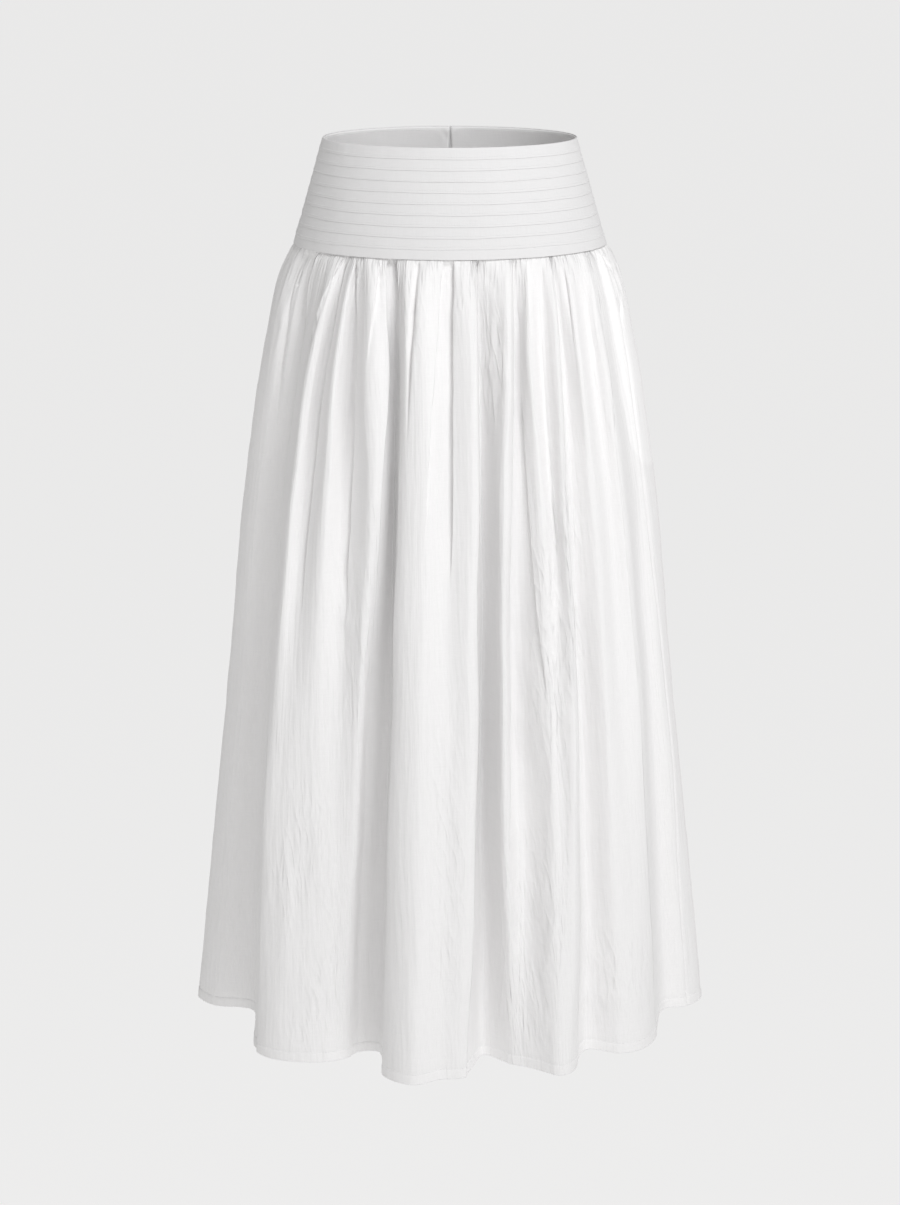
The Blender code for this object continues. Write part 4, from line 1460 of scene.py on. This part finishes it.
# Centres, directions and outward directions of the stitches of one row.
Row = tuple[np.ndarray, np.ndarray, np.ndarray]


@dataclass
class StitchRun:
    """Rows of machine stitches: small spindles of thread half sunk in the cloth."""

    length: float = 2.1 * MM
    width: float = 0.42 * MM
    lift: float = 0.10 * MM
    look_ahead: float = 0.3

    def plan(self, centres: np.ndarray, along: np.ndarray, outward: np.ndarray) -> MeshPlan:
        """Stitches at these places.

        A stitch has three square rings, thin at its ends and full in the middle, which rises.

        Args:
            centres: Places on the cloth, n by 3.
            along: Unit directions of the row.
            outward: Unit directions away from the cloth.

        Returns:
            The plan of all stitches as one mesh.
        """
        aside = np.cross(along, outward)
        shares = np.array([-0.5, 0.0, 0.5])
        girths = np.array([0.45, 1.0, 0.45])
        lifts = np.array([-0.5, 1.0, -0.5])
        corners = np.array([(-1, -1), (1, -1), (1, 1), (-1, 1)]) * 0.5
        ring = (
            centres[:, None, :]
            + along[:, None, :] * (shares * self.length)[None, :, None]
            + outward[:, None, :] * (lifts * self.lift)[None, :, None]
        )
        offsets = (
            aside[:, None, None, :] * (girths[:, None] * corners[:, 0])[None, :, :, None]
            + outward[:, None, None, :] * (girths[:, None] * corners[:, 1])[None, :, :, None]
        ) * self.width
        vertices = (ring[:, :, None, :] + offsets).reshape(-1, 3)
        caps = np.array([[3, 2, 1, 0], [8, 9, 10, 11]])
        walls = ring_walls(len(shares), len(corners))
        return copies_plan(vertices, np.concatenate([walls, caps]), len(centres))

    def sew(self, rows: Sequence[Row], name: str, thread: bpy.types.Material, slot: str) -> None:
        """Makes one piece of the stitches of all these rows.

        Args:
            rows: Centres, directions and outward directions of each row.
            name: Name of the piece.
            thread: Its material.
            slot: Name of a material slot, passed on to dress.
        """
        centres, along, outward = (np.concatenate(parts) for parts in zip(*rows))
        dress(self.plan(centres, along, outward).make(name, thread), slot)

    def along_grid(self, grid: np.ndarray, normals: np.ndarray, pitch: float) -> Row:
        """Places, directions and outward directions of stitches along one row of points.

        Args:
            grid: Points of the row, n by 3.
            normals: Outward unit normals at them.
            pitch: Distance from stitch to stitch.

        Returns:
            Centres, directions and normals.
        """
        length = lengths_along(grid)
        at = np.arange(pitch, length[-1] - pitch, pitch)
        centres, ahead, outward = (
            np.stack([np.interp(places, length, values[:, k]) for k in range(3)], axis=1)
            for places, values in ((at, grid), (at + self.look_ahead * pitch, grid), (at, normals))
        )
        along = ahead - centres
        along /= np.linalg.norm(along, axis=1, keepdims=True)
        outward -= along * (outward * along).sum(axis=1, keepdims=True)
        outward /= np.linalg.norm(outward, axis=1, keepdims=True)
        return centres, along, outward


@dataclass
class GatheredPanels:
    """The gathered panels: thin shells on the solids' form with hem, seams and crumples."""

    cloth: GatheredCloth
    finish: bpy.types.Material
    thread: bpy.types.Material
    shell: float = 0.6 * MM
    hem_height: float = 10.0 * MM
    hem_step: float = 0.35 * MM
    hem_ramp: float = 1.2 * MM
    hem_stitch_pitch: float = 2.7 * MM
    seam_groove: float = 0.8 * MM
    seam_reach: float = 2.2 * MM
    body_rows: int = 128
    gather_rows: int = 26
    gather_reach: float = 0.060
    gathered_reach: float = 0.022
    left_pocket_shows: float = 0.25
    right_pocket_shows: float = 0.85
    pocket_blur: float = 4.0 * MM
    pocket_side_blur: float = 0.03
    hem_shows: float = 0.06
    hem_rows: tuple[float, ...] = (-1.5, -0.6, 0.0, 0.6, 1.5, 4.0, 7.0)
    hem_pucker: Waver = Waver(7, 22, 0.5, 71)
    hem_pucker_reach: float = 9.0 * MM
    stitch_groove: float = 0.25 * MM
    stitch_groove_reach: float = 0.9 * MM
    seam_drag: Waver = Waver(40, 16, 0.35, 73)
    seam_drag_reach: float = 9.0 * MM
    flat_allowance: float = 0.02

    def rows(self) -> np.ndarray:
        """Depths of the rows of points: close in the gathers, even below, close again in the hem."""
        top = LEVELS[0].below
        gathers = np.linspace(top, top + self.gather_reach, self.gather_rows, endpoint=False)
        hem = HEM_BELOW - self.hem_height + np.array(self.hem_rows) * MM
        body = np.linspace(top + self.gather_reach, hem[0], self.body_rows, endpoint=False)
        return np.concatenate([[top - 1.5 * MM], gathers, body, hem, [HEM_BELOW - 0.6 * MM, HEM_BELOW]])

    def relief(self, across: np.ndarray, below: np.ndarray, width: float) -> np.ndarray:
        """Outward move by the hem's second layer, its puckers and the grooves along the seams.

        Args:
            across: Length of flat cloth from the panel's first seam, depths by places.
            below: Depths below the waist.
            width: Length of flat cloth across the whole panel.

        Returns:
            Moves in metres, depths by places.
        """
        hem_line = HEM_BELOW - self.hem_height
        down = below[:, None]
        from_line = down - hem_line
        edge = np.minimum(across, width - across)
        return (
            self.hem_step * fade(from_line / self.hem_ramp + 1 / 3)
            + self.hem_pucker.move(across, down) * bell(from_line / self.hem_pucker_reach)
            - self.stitch_groove * bell(from_line / self.stitch_groove_reach)
            - self.seam_groove * bell(edge / self.seam_reach)
            + self.seam_drag.move(across, down) * bell(edge / self.seam_drag_reach)
        )

    def grid(self, panel: Panel) -> tuple[np.ndarray, np.ndarray, np.ndarray]:
        """Points of one panel's outer face, with its places and flat lengths across.

        Args:
            panel: Which panel.

        Returns:
            Points, places and lengths across.
        """
        _, start, end = panel.value
        below = self.rows()
        places = self.cloth.columns(start, end, below)
        across = self.cloth.cloth_across(places)
        points = self.cloth.surface(places, below)
        flat = across - across[:, :1]
        normals = plan_normals(points)
        normals[..., 2] = 0
        normals /= np.linalg.norm(normals, axis=2, keepdims=True)
        points += normals * self.relief(flat, below, float(flat[0, -1]))[..., None]
        draw_in_ends(points, SEAM_GAP / 2)
        return points, places, across

    def backing(self, places: np.ndarray, below: np.ndarray) -> np.ndarray:
        """How much each point is backed by a pocket bag or the hem's second layer, 0 to 1.

        Args:
            places: Places round the skirt, depths by places.
            below: Depths below the waist.

        Returns:
            Values, depths by places.
        """
        value = np.zeros_like(places)
        for seam, end, shows in (
            (0, LEFT_POCKET_END, self.left_pocket_shows),
            (RIGHT_SIDE, RIGHT_POCKET_END, self.right_pocket_shows),
        ):
            reach = np.abs(places - seam) / abs(end - seam)
            inside = (reach <= 1) & (places <= RIGHT_SIDE)
            corner = np.sqrt(np.maximum(1 - (POCKET_CORNER * reach) ** 2, 0))
            low = POCKET_BOTTOM - POCKET_CORNER_RISE * (1 - corner)
            above = 1 - fade((below[:, None] - low) / self.pocket_blur + 0.5)
            beside = 1 - fade((reach - 1) / self.pocket_side_blur + 1)
            value = np.maximum(value, shows * above * beside * inside)
        hem = fade((below - HEM_BELOW + self.hem_height) / MM)
        return np.maximum(value, self.hem_shows * hem[:, None])

    def build(self) -> None:
        """Builds the three panels and the stitches of their hems."""
        run = StitchRun()
        stitches = []
        below = self.rows()
        for panel in Panel:
            name, _, _ = panel.value
            points, places, across = self.grid(panel)
            rows, columns = points.shape[:2]
            uv = flat_uv(across, below).reshape(-1, 2)
            plan = MeshPlan(points.reshape(-1, 3), grid_quads(rows, columns), uv)
            plan.values["backed"] = self.backing(places, below).ravel()
            near_seam = np.exp(-np.maximum(below - LEVELS[0].below, 0) / self.gathered_reach)
            plan.values["gathered"] = np.repeat(near_seam, columns)
            plan.values["crumpled"] = self.cloth.crumpled(points, below).ravel()
            piece = plan.make(f"{name}_cloth", self.finish)
            wall = piece.modifiers.new("Cloth", "SOLIDIFY")
            wall.thickness = self.shell
            wall.offset = -1.0
            dress(piece, "cotton", name)
            row = int(np.argmin(np.abs(below - (HEM_BELOW - self.hem_height))))
            normals = plan_normals(points)
            stitches.append(run.along_grid(points[row], normals[row], self.hem_stitch_pitch))
        run.sew(stitches, "hem_stitches", self.thread, "cotton")


# Rows of points of the yoke's outer face, in millimetres: depth or height above an edge, and how far
# out of the plain face before the tuck height is applied. A tuck swells by the shares of its reach.
WAIST_EDGE_ROWS = ((0.0, -0.6), (0.1, -0.25), (0.5, -0.05), (1.6, 0.0))
TUCK_SWELL = 0.75
TUCK_SWELL_SHARES = (0.16, 0.34, 0.52, 0.68)
TUCK_EDGE_ROWS = (
    (2.6, 0.74), (2.0, 0.68), (1.4, 0.86), (0.7, 1.08), (0.25, 1.10), (0.0, 0.86), (0.12, 0.60),
    (0.5, 0.46), (1.6, 0.34), (1.65, 0.18), (1.5, 0.04), (0.5, 0.0), (-0.5, 0.0),
)  # fmt: skip
YOKE_END_ROWS = ((5.0, 0.0), (2.0, 0.02), (0.4, 0.0), (0.0, -0.2))


@dataclass
class TuckedYoke:
    """The fitted yoke: tucks with rounded fold edges pressed down, and their edge stitches."""

    finish: bpy.types.Material
    thread: bpy.types.Material
    columns_per_degree: float = 0.95
    stitch_pitch: float = 2.5 * MM
    stitch_above_edge: float = 2.0 * MM
    top_stitch_above_seam: float = 8.0 * MM
    tuck_height: float = 0.28
    tuck_cloth: float = 4.0 * MM
    backed: float = 0.3
    around_per_degree: float = 2.45 * MM
    soft: Waver = Waver(38, 60, 0.55, 31)
    pucker: Waver = Waver(7.5, 0, 0.16, 33)
    pucker_shift: float = 13.7
    drag: Waver = Waver(22, 13, 0.22, 35, slant=0.55)
    short_sag: Waver = Waver(26.95, 0, 0.35, 37)
    short_sag_shift: float = 5.3
    long_sag: Waver = Waver(98, 0, 0.45, 39)
    long_sag_shift: float = 2.1
    side_groove: float = 0.45 * MM
    side_groove_degrees: float = 0.7
    opening_groove: float = 0.6 * MM
    opening_groove_degrees: float = 0.8

    def profile(self) -> np.ndarray:
        """Depths and stand-outs down the outer face.

        Each tuck swells to its fold edge, turns under it, runs back up and comes down again as the
        next stretch of cloth.

        Returns:
            One row for each row of points, in metres.
        """
        rows = list(WAIST_EDGE_ROWS)
        last_edge = WAIST_EDGE_ROWS[-1][0]
        for tuck in range(TUCK_COUNT):
            edge = (FIRST_TUCK_EDGE + tuck * TUCK_PITCH) / MM
            reach = edge - last_edge
            rows += [(last_edge + share * reach, TUCK_SWELL * share**1.5) for share in TUCK_SWELL_SHARES]
            rows += [(edge - above, out) for above, out in TUCK_EDGE_ROWS]
            last_edge = rows[-1][0]
        rows += [(YOKE_DROP / MM - above, out) for above, out in YOKE_END_ROWS]
        return np.array(rows) * (MM, MM * self.tuck_height)

    def tuck_number(self, below: np.ndarray) -> np.ndarray:
        """Number of the tuck at each depth, counted from the waist edge."""
        return np.floor((below - WAIST_EDGE_ROWS[-1][0] * MM) / TUCK_PITCH)

    def ring(self, below: np.ndarray, degrees: np.ndarray, outward: np.ndarray) -> np.ndarray:
        """Points of the yoke's outer face.

        The ring is an ellipse whose half-sizes grow evenly from the waist edge to the seam.

        Args:
            below: Depths below the waist.
            degrees: Degrees round the waist from the left side.
            outward: Distance out of the plain face.

        Returns:
            Points, with the shape that the three broadcast to, by 3.
        """
        share = below / YOKE_DROP
        half_width = WAIST_HALF_WIDTH + share * (LEVELS[0].half_width - WAIST_HALF_WIDTH) + outward
        half_depth = WAIST_HALF_DEPTH + share * (LEVELS[0].half_depth - WAIST_HALF_DEPTH) + outward
        turn = np.radians(degrees)
        x, y, z = -half_width * np.cos(turn), -half_depth * np.sin(turn), -below
        return np.stack(np.broadcast_arrays(x, y, z), axis=-1)

    def relief(self, below: np.ndarray, degrees: np.ndarray) -> np.ndarray:
        """Outward move by soft unevenness and the small puckers along the tuck stitches.

        Args:
            below: Depths below the waist.
            degrees: Degrees round the waist.

        Returns:
            Moves in metres.
        """
        around = degrees * self.around_per_degree
        tuck = self.tuck_number(below)
        from_side = np.abs((degrees + 90) % 180 - 90) / self.side_groove_degrees
        from_opening = np.abs(degrees - 270) / self.opening_groove_degrees
        return (
            self.soft.move(around, below)
            + self.pucker.move(around, below, self.pucker_shift * tuck)
            + self.drag.move(around, below)
            - self.side_groove * bell(from_side)
            - self.opening_groove * bell(from_opening)
        )

    def sag(self, below: np.ndarray, degrees: np.ndarray) -> np.ndarray:
        """Downward move of the fold edges, which waver a little between their stitches.

        Args:
            below: Depths below the waist.
            degrees: Degrees round the waist.

        Returns:
            Moves in metres.
        """
        around = degrees * self.around_per_degree
        tuck = self.tuck_number(below)
        waver = self.short_sag.move(around, below, self.short_sag_shift * tuck)
        waver = waver + self.long_sag.move(around, below, self.long_sag_shift * tuck)
        return waver * fade(below / (6 * MM)) * fade((YOKE_DROP - below) / (6 * MM))

    def outer(self, degrees: np.ndarray) -> np.ndarray:
        """Grid of points of the outer face.

        Args:
            degrees: Degrees round the waist, one for each column.

        Returns:
            Points, rows by columns by 3.
        """
        profile = self.profile()
        below, out = profile[:, :1], profile[:, 1:]
        around = degrees[None, :]
        move = self.relief(below, around) * fade((below + 0.5 * MM) / (2 * MM))
        return self.ring(below + self.sag(below, around), around, out + move)

    def build(self) -> None:
        """Builds the three pieces of the yoke and all their stitches."""
        stitches = []
        run = StitchRun()
        profile = self.profile()
        rows = len(profile)
        stitch_below = FIRST_TUCK_EDGE + np.arange(TUCK_COUNT) * TUCK_PITCH - self.stitch_above_edge
        levels = [*stitch_below, YOKE_DROP - self.top_stitch_above_seam]
        for part in YokePart:
            ending, start, end = part.value
            degrees = np.linspace(start, end, int((end - start) * self.columns_per_degree))
            outer = self.outer(degrees)
            depth = np.linspace(0.0, 1.0, rows)[:, None] * YOKE_DROP
            inner = self.ring(depth, degrees[None, :], np.full((rows, 1), -YOKE_WALL))
            for face in (outer, inner):
                draw_in_ends(face, SEAM_GAP / 2)
            around = np.radians(degrees) * 0.5 * (LEVELS[0].half_width + LEVELS[0].half_depth)
            uv = flat_uv(around, lengths_along(outer[:, 0]))
            plan = shell_plan(outer, inner, uv)
            plan.values["backed"] = np.full(len(plan.vertices), self.backed)
            piece = plan.make(f"basque_{ending}_cloth", self.finish)
            dress(piece, "cotton", f"basque_{ending}")
            normals = plan_normals(outer)
            for level in levels:
                under = (profile[:, 1] < 0.2 * MM) & (level < YOKE_DROP - 2 * self.stitch_above_edge)
                row = int(np.argmin(np.abs(profile[:, 0] - level) + under))
                stitches.append(run.along_grid(outer[row], normals[row], self.stitch_pitch))
        run.sew(stitches, "yoke_stitches", self.thread, "cotton")


@dataclass
class WaistFacing:
    """The strip turned inside the waist edge, with its edge stitching and its ends at the zip."""

    yoke: TuckedYoke
    finish: bpy.types.Material
    thread: bpy.types.Material
    rows: int = 26
    columns_per_degree: float = 0.9
    turn_back_top: float = 0.225 * MM
    turn_back_more: float = 1.44 * MM
    stitch_below: float = 3.2 * MM
    stitch_pitch: float = 2.6 * MM
    stitch_width: float = 0.38 * MM
    around_per_degree: float = 2.2 * MM
    wrinkles: Waver = Waver(24, 25, 0.25, 43, slant=0.56)
    drags: Waver = Waver(5, 40, 0.5, 45, slant=0.6)
    drag_reach_degrees: float = 7.0

    def grid(self, part: YokePart, inward: float) -> np.ndarray:
        """Points of one face of the strip.

        The strip wrinkles a little, only away from the yoke, and its ends at the centre back are
        turned back from the zip, more so lower down.

        Args:
            part: Which piece of the strip.
            inward: Distance of the plain face inside the yoke's outer face.

        Returns:
            Points, rows by columns by 3.
        """
        _, start, end = part.value
        share = np.linspace(0.0, 1.0, self.rows)[:, None]
        below = FACING_TOP + share * (FACING_DROP - FACING_TOP)
        degrees = np.linspace(start, end, int((end - start) * self.columns_per_degree))[None, :]
        turned = np.degrees((self.turn_back_top + self.turn_back_more * share) / WAIST_HALF_WIDTH)
        if part is YokePart.BACK_RIGHT:
            degrees = start + (degrees - start) * (1 - turned / (end - start))
        if part is YokePart.BACK_LEFT:
            degrees = end - (end - degrees) * (1 - turned / (end - start))
        around = degrees * self.around_per_degree
        near_zip = bell(np.abs(degrees - 270) / self.drag_reach_degrees)
        move = self.wrinkles.rise(around, below) + self.drags.rise(around, below) * near_zip
        move = move * fade((below - FACING_TOP) / (5 * MM))
        points = self.yoke.ring(below, degrees, -inward - move)
        draw_in_ends(points, SEAM_GAP / 2)
        return points

    def build(self) -> None:
        """Builds the three pieces of the strip and their edge stitches."""
        run = StitchRun(width=self.stitch_width)
        stitches = []
        for part in YokePart:
            ending, _, _ = part.value
            outer = self.grid(part, YOKE_WALL + SEAM_GAP)
            inner = self.grid(part, YOKE_WALL + SEAM_GAP + FACING_WALL)
            along = lengths_along(outer[0])
            uv = flat_uv(along, np.linspace(0.0, FACING_DROP - FACING_TOP, self.rows))
            plan = shell_plan(outer, inner, uv)
            plan.values["backed"] = np.ones(len(plan.vertices))
            piece = plan.make(f"facing_{ending}_cloth", self.finish)
            dress(piece, "facing", f"facing_{ending}")
            row = int(round(self.stitch_below / (FACING_DROP - FACING_TOP) * (self.rows - 1)))
            normals = -plan_normals(inner)
            stitches.append(run.along_grid(inner[row], normals[row], self.stitch_pitch))
        run.sew(stitches, "facing_stitches", self.thread, "facing")


@dataclass
class PocketBags:
    """The flat bags in the side seams, made from the front panel's own surface moved inward."""

    cloth: GatheredCloth
    finish: bpy.types.Material
    rows: int = 46
    columns: int = 24

    def face(self, places: np.ndarray, seam: int, end: int, inward: float) -> np.ndarray:
        """Points of one face of a bag, whose lower corner away from the seam is rounded.

        Args:
            places: Places across the bag.
            seam: Fold line of the side seam.
            end: Fold line where the bag ends.
            inward: Distance inside the panel's outer face.

        Returns:
            Points, rows by places by 3.
        """
        fine = np.linspace(POCKET_TOP, POCKET_BOTTOM, self.rows)
        points = self.cloth.surface(np.tile(places, (self.rows, 1)), fine, inward)
        reach = np.abs(places - seam) / abs(end - seam)
        corner = np.sqrt(1 - (POCKET_CORNER * reach) ** 2)
        drop = POCKET_BOTTOM - POCKET_TOP - POCKET_CORNER_RISE * (1 - corner)
        wanted = POCKET_TOP + np.linspace(0, 1, self.rows)[:, None] * drop[None, :]
        index = (wanted - POCKET_TOP) / (POCKET_BOTTOM - POCKET_TOP) * (self.rows - 1)
        low = np.minimum(index.astype(int), self.rows - 2)
        share = (index - low)[..., None]
        column = np.arange(len(places))[None, :]
        moved = points[low, column] * (1 - share) + points[low + 1, column] * share
        draw_in_ends(moved, SEAM_GAP)
        return moved

    def build(self) -> None:
        """Builds both bags."""
        ends = (("pocket_left", 0, LEFT_POCKET_END), ("pocket_right", RIGHT_SIDE, RIGHT_POCKET_END))
        for name, seam, end in ends:
            places = np.linspace(min(seam, end), max(seam, end), self.columns)
            near = CLOTH_WALL + POCKET_CLEAR
            outer = self.face(places, seam, end, near)
            inner = self.face(places, seam, end, near + POCKET_WALL)
            across = self.cloth.cloth_across(places)
            uv = flat_uv(across, np.linspace(0, POCKET_BOTTOM - POCKET_TOP, self.rows))
            plan = shell_plan(outer, inner, uv)
            plan.values["backed"] = np.ones(len(plan.vertices))
            piece = plan.make(f"{name}_bag", self.finish)
            dress(piece, "pocketing", name)


@dataclass
class ConcealedZip:
    """The zip in the centre-back seam: enamelled slider and pull, and the coil seen inside."""

    yoke: TuckedYoke
    enamel: bpy.types.Material
    coil: bpy.types.Material
    coil_width: float = 2.4 * MM
    coil_depth: float = 1.1 * MM
    tooth_pitch: float = 1.1 * MM
    top: float = 4.0 * MM
    length: float = 0.098
    inside: float = 2.1 * MM
    loop_points: int = 10
    half_band: float = 0.462 * MM
    edge_girth: float = 0.86

    def build(self, nodes: dict[str, bpy.types.Object]) -> None:
        """Dresses the slider and pull, and builds the row of coil loops.

        A loop is a closed ring of points swept to a narrow band, and one lies below another.

        Args:
            nodes: The frame's nodes.
        """
        for name in ("zip_slider", "zip_pull"):
            node = nodes[name]
            node.data.materials.clear()
            node.data.materials.append(self.enamel)
        count = int(self.length / self.tooth_pitch)
        below = self.top + np.arange(count) * self.tooth_pitch
        turns = np.linspace(0, 2 * np.pi, self.loop_points, endpoint=False)
        centre = self.yoke.ring(below, np.full(count, 270.0), np.full(count, -self.inside))
        ring_x = 0.5 * self.coil_width * np.cos(turns)
        ring_y = 0.5 * self.coil_depth * np.sin(turns)
        layers = [
            np.stack([ring_x * girth, ring_y * girth, np.full_like(turns, lift * self.half_band)], axis=1)
            for lift, girth in ((1, self.edge_girth), (0.35, 1), (-0.35, 1), (-1, self.edge_girth))
        ]
        one = np.stack(layers)
        vertices = (centre[:, None, None, :] + one[None]).reshape(-1, 3)
        walls = ring_walls(len(layers), len(turns))[:, [0, 3, 2, 1]]
        top_cap = np.array([[0, 1, 2, 3], [0, 3, 4, 9], [4, 5, 8, 9], [5, 6, 7, 8]])
        low_cap = top_cap[:, ::-1] + (len(layers) - 1) * len(turns)
        plan = copies_plan(vertices, np.concatenate([walls, top_cap, low_cap]), count)
        dress(plan.make("zip_coil", self.coil), "zip_metal")


@dataclass
class Studio:
    """Pale floor, soft light from the front right, and the camera."""

    camera_distance: float = 3.4
    camera_height: float = 0.389
    aim_height: float = -0.48
    lens: float = 101.5
    floor_below: float = 4.0
    floor_radius: float = 120.0
    floor_tone: float = 0.99
    floor_glow: float = 0.395
    world_strength: float = 0.40
    key_power: float = 60.0
    key_place: tuple[float, float, float] = (1.26, -2.03, 2.19)
    key_size: float = 1.3
    fill_strength: float = 0.32
    fill_direction: tuple[float, float, float] = (0.1, -1.0, 0.3)
    fill_softness: float = 40.0
    light_colour: tuple[float, float, float] = (0.985, 0.99, 1.0)
    world_colour: tuple[float, float, float] = (1.0, 0.992, 0.985)

    def build(self) -> None:
        """Builds the camera, lights, world and floor, and sets a plain colour transform."""
        scene = bpy.context.scene
        scene.view_settings.view_transform = "Standard"
        camera = bpy.data.cameras.new("camera")
        camera.lens = self.lens
        camera.sensor_width = 36.0
        holder = bpy.data.objects.new("camera", camera)
        holder.location = (0.0, -self.camera_distance, self.camera_height)
        aim = Vector((0.0, 0.0, self.aim_height)) - holder.location
        holder.rotation_euler = aim.to_track_quat("-Z", "Y").to_euler()
        scene.collection.objects.link(holder)
        scene.camera = holder
        key = bpy.data.lights.new("key", "AREA")
        key.energy = self.key_power
        key.size = self.key_size
        self.place_light(key, Vector(self.key_place) - Vector((0.0, 0.0, self.aim_height)), self.key_place)
        fill = bpy.data.lights.new("fill", "SUN")
        fill.energy = self.fill_strength
        fill.angle = np.radians(self.fill_softness)
        self.place_light(fill, Vector(self.fill_direction))
        world = bpy.data.worlds.new("studio")
        world.use_nodes = True
        background = world.node_tree.nodes["Background"]
        background.inputs["Color"].default_value = (*self.world_colour, 1.0)
        background.inputs["Strength"].default_value = self.world_strength
        scene.world = world
        self.floor()

    def place_light(
        self, light: bpy.types.Light, towards: Vector, place: Sequence[float] = (0.0, 0.0, 0.0)
    ) -> None:
        """Puts one light into the scene, out of the camera's sight.

        Args:
            light: The light.
            towards: Direction from the skirt to the light.
            place: Where it stands.
        """
        light.color = self.light_colour
        holder = bpy.data.objects.new(light.name, light)
        holder.location = place
        holder.rotation_euler = (-towards).to_track_quat("-Z", "Y").to_euler()
        holder.visible_camera = False
        bpy.context.scene.collection.objects.link(holder)

    def floor(self) -> None:
        """Adds the floor: a large plain square far below the hem, which glows a little."""
        steps = np.linspace(-self.floor_radius, self.floor_radius, 9)
        x, y = np.meshgrid(steps, steps[::-1])
        points = np.stack([x, y, np.full_like(x, -self.floor_below)], axis=2)
        material = bpy.data.materials.new("floor")
        material.use_nodes = True
        shader = material.node_tree.nodes["Principled BSDF"]
        shader.inputs["Base Color"].default_value = (self.floor_tone,) * 3 + (1.0,)
        shader.inputs["Roughness"].default_value = 1.0
        shader.inputs["Specular IOR Level"].default_value = 0.0
        shader.inputs["Emission Color"].default_value = (1.0, 1.0, 1.0, 1.0)
        shader.inputs["Emission Strength"].default_value = self.floor_glow
        quads = grid_quads(len(steps), len(steps))
        plan = MeshPlan(points.reshape(-1, 3), quads, points[..., :2].reshape(-1, 2))
        plan.make("floor", material)


def corners(bounds: Sequence[Vector]) -> list[list[float]]:
    """The two corners of a box as plain lists."""
    return [[float(value) for value in corner] for corner in bounds]


def main() -> None:
    """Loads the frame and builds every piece."""
    logging.basicConfig(level=logging.INFO, format="%(message)s")
    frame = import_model()
    groups = ClothGroups()
    cotton = CottonFinish().build(groups)
    facing_cotton = CottonFinish(name="facing_cotton", crumple_height=0.2 * MM).build(groups)
    thread = ThreadFinish().build(groups)
    enamel = EnamelFinish().build(groups)
    coil = ThreadFinish(name="zip_coil", tone=(0.86, 0.86, 0.86), roughness=0.4).build(groups)
    cloth = GatheredCloth()
    GatheredPanels(cloth, cotton, thread).build()
    # The yoke is the same white cotton as the skirt. Its darker tone is painted shade, which makes the yoke
    # read darker than the skirt below it under these lights.
    yoke_cotton_painted_shade = CottonFinish(name="yoke_cotton_painted_shade", tone=(0.70, 0.695, 0.695), crumple_height=0.25 * MM)
    yoke = TuckedYoke(yoke_cotton_painted_shade.build(groups), thread)
    yoke.build()
    WaistFacing(yoke, facing_cotton, thread).build()
    PocketBags(cloth, facing_cotton).build()
    ConcealedZip(yoke, enamel, coil).build(frame["nodes"])
    Studio().build()


if __name__ == "__main__":
    main()
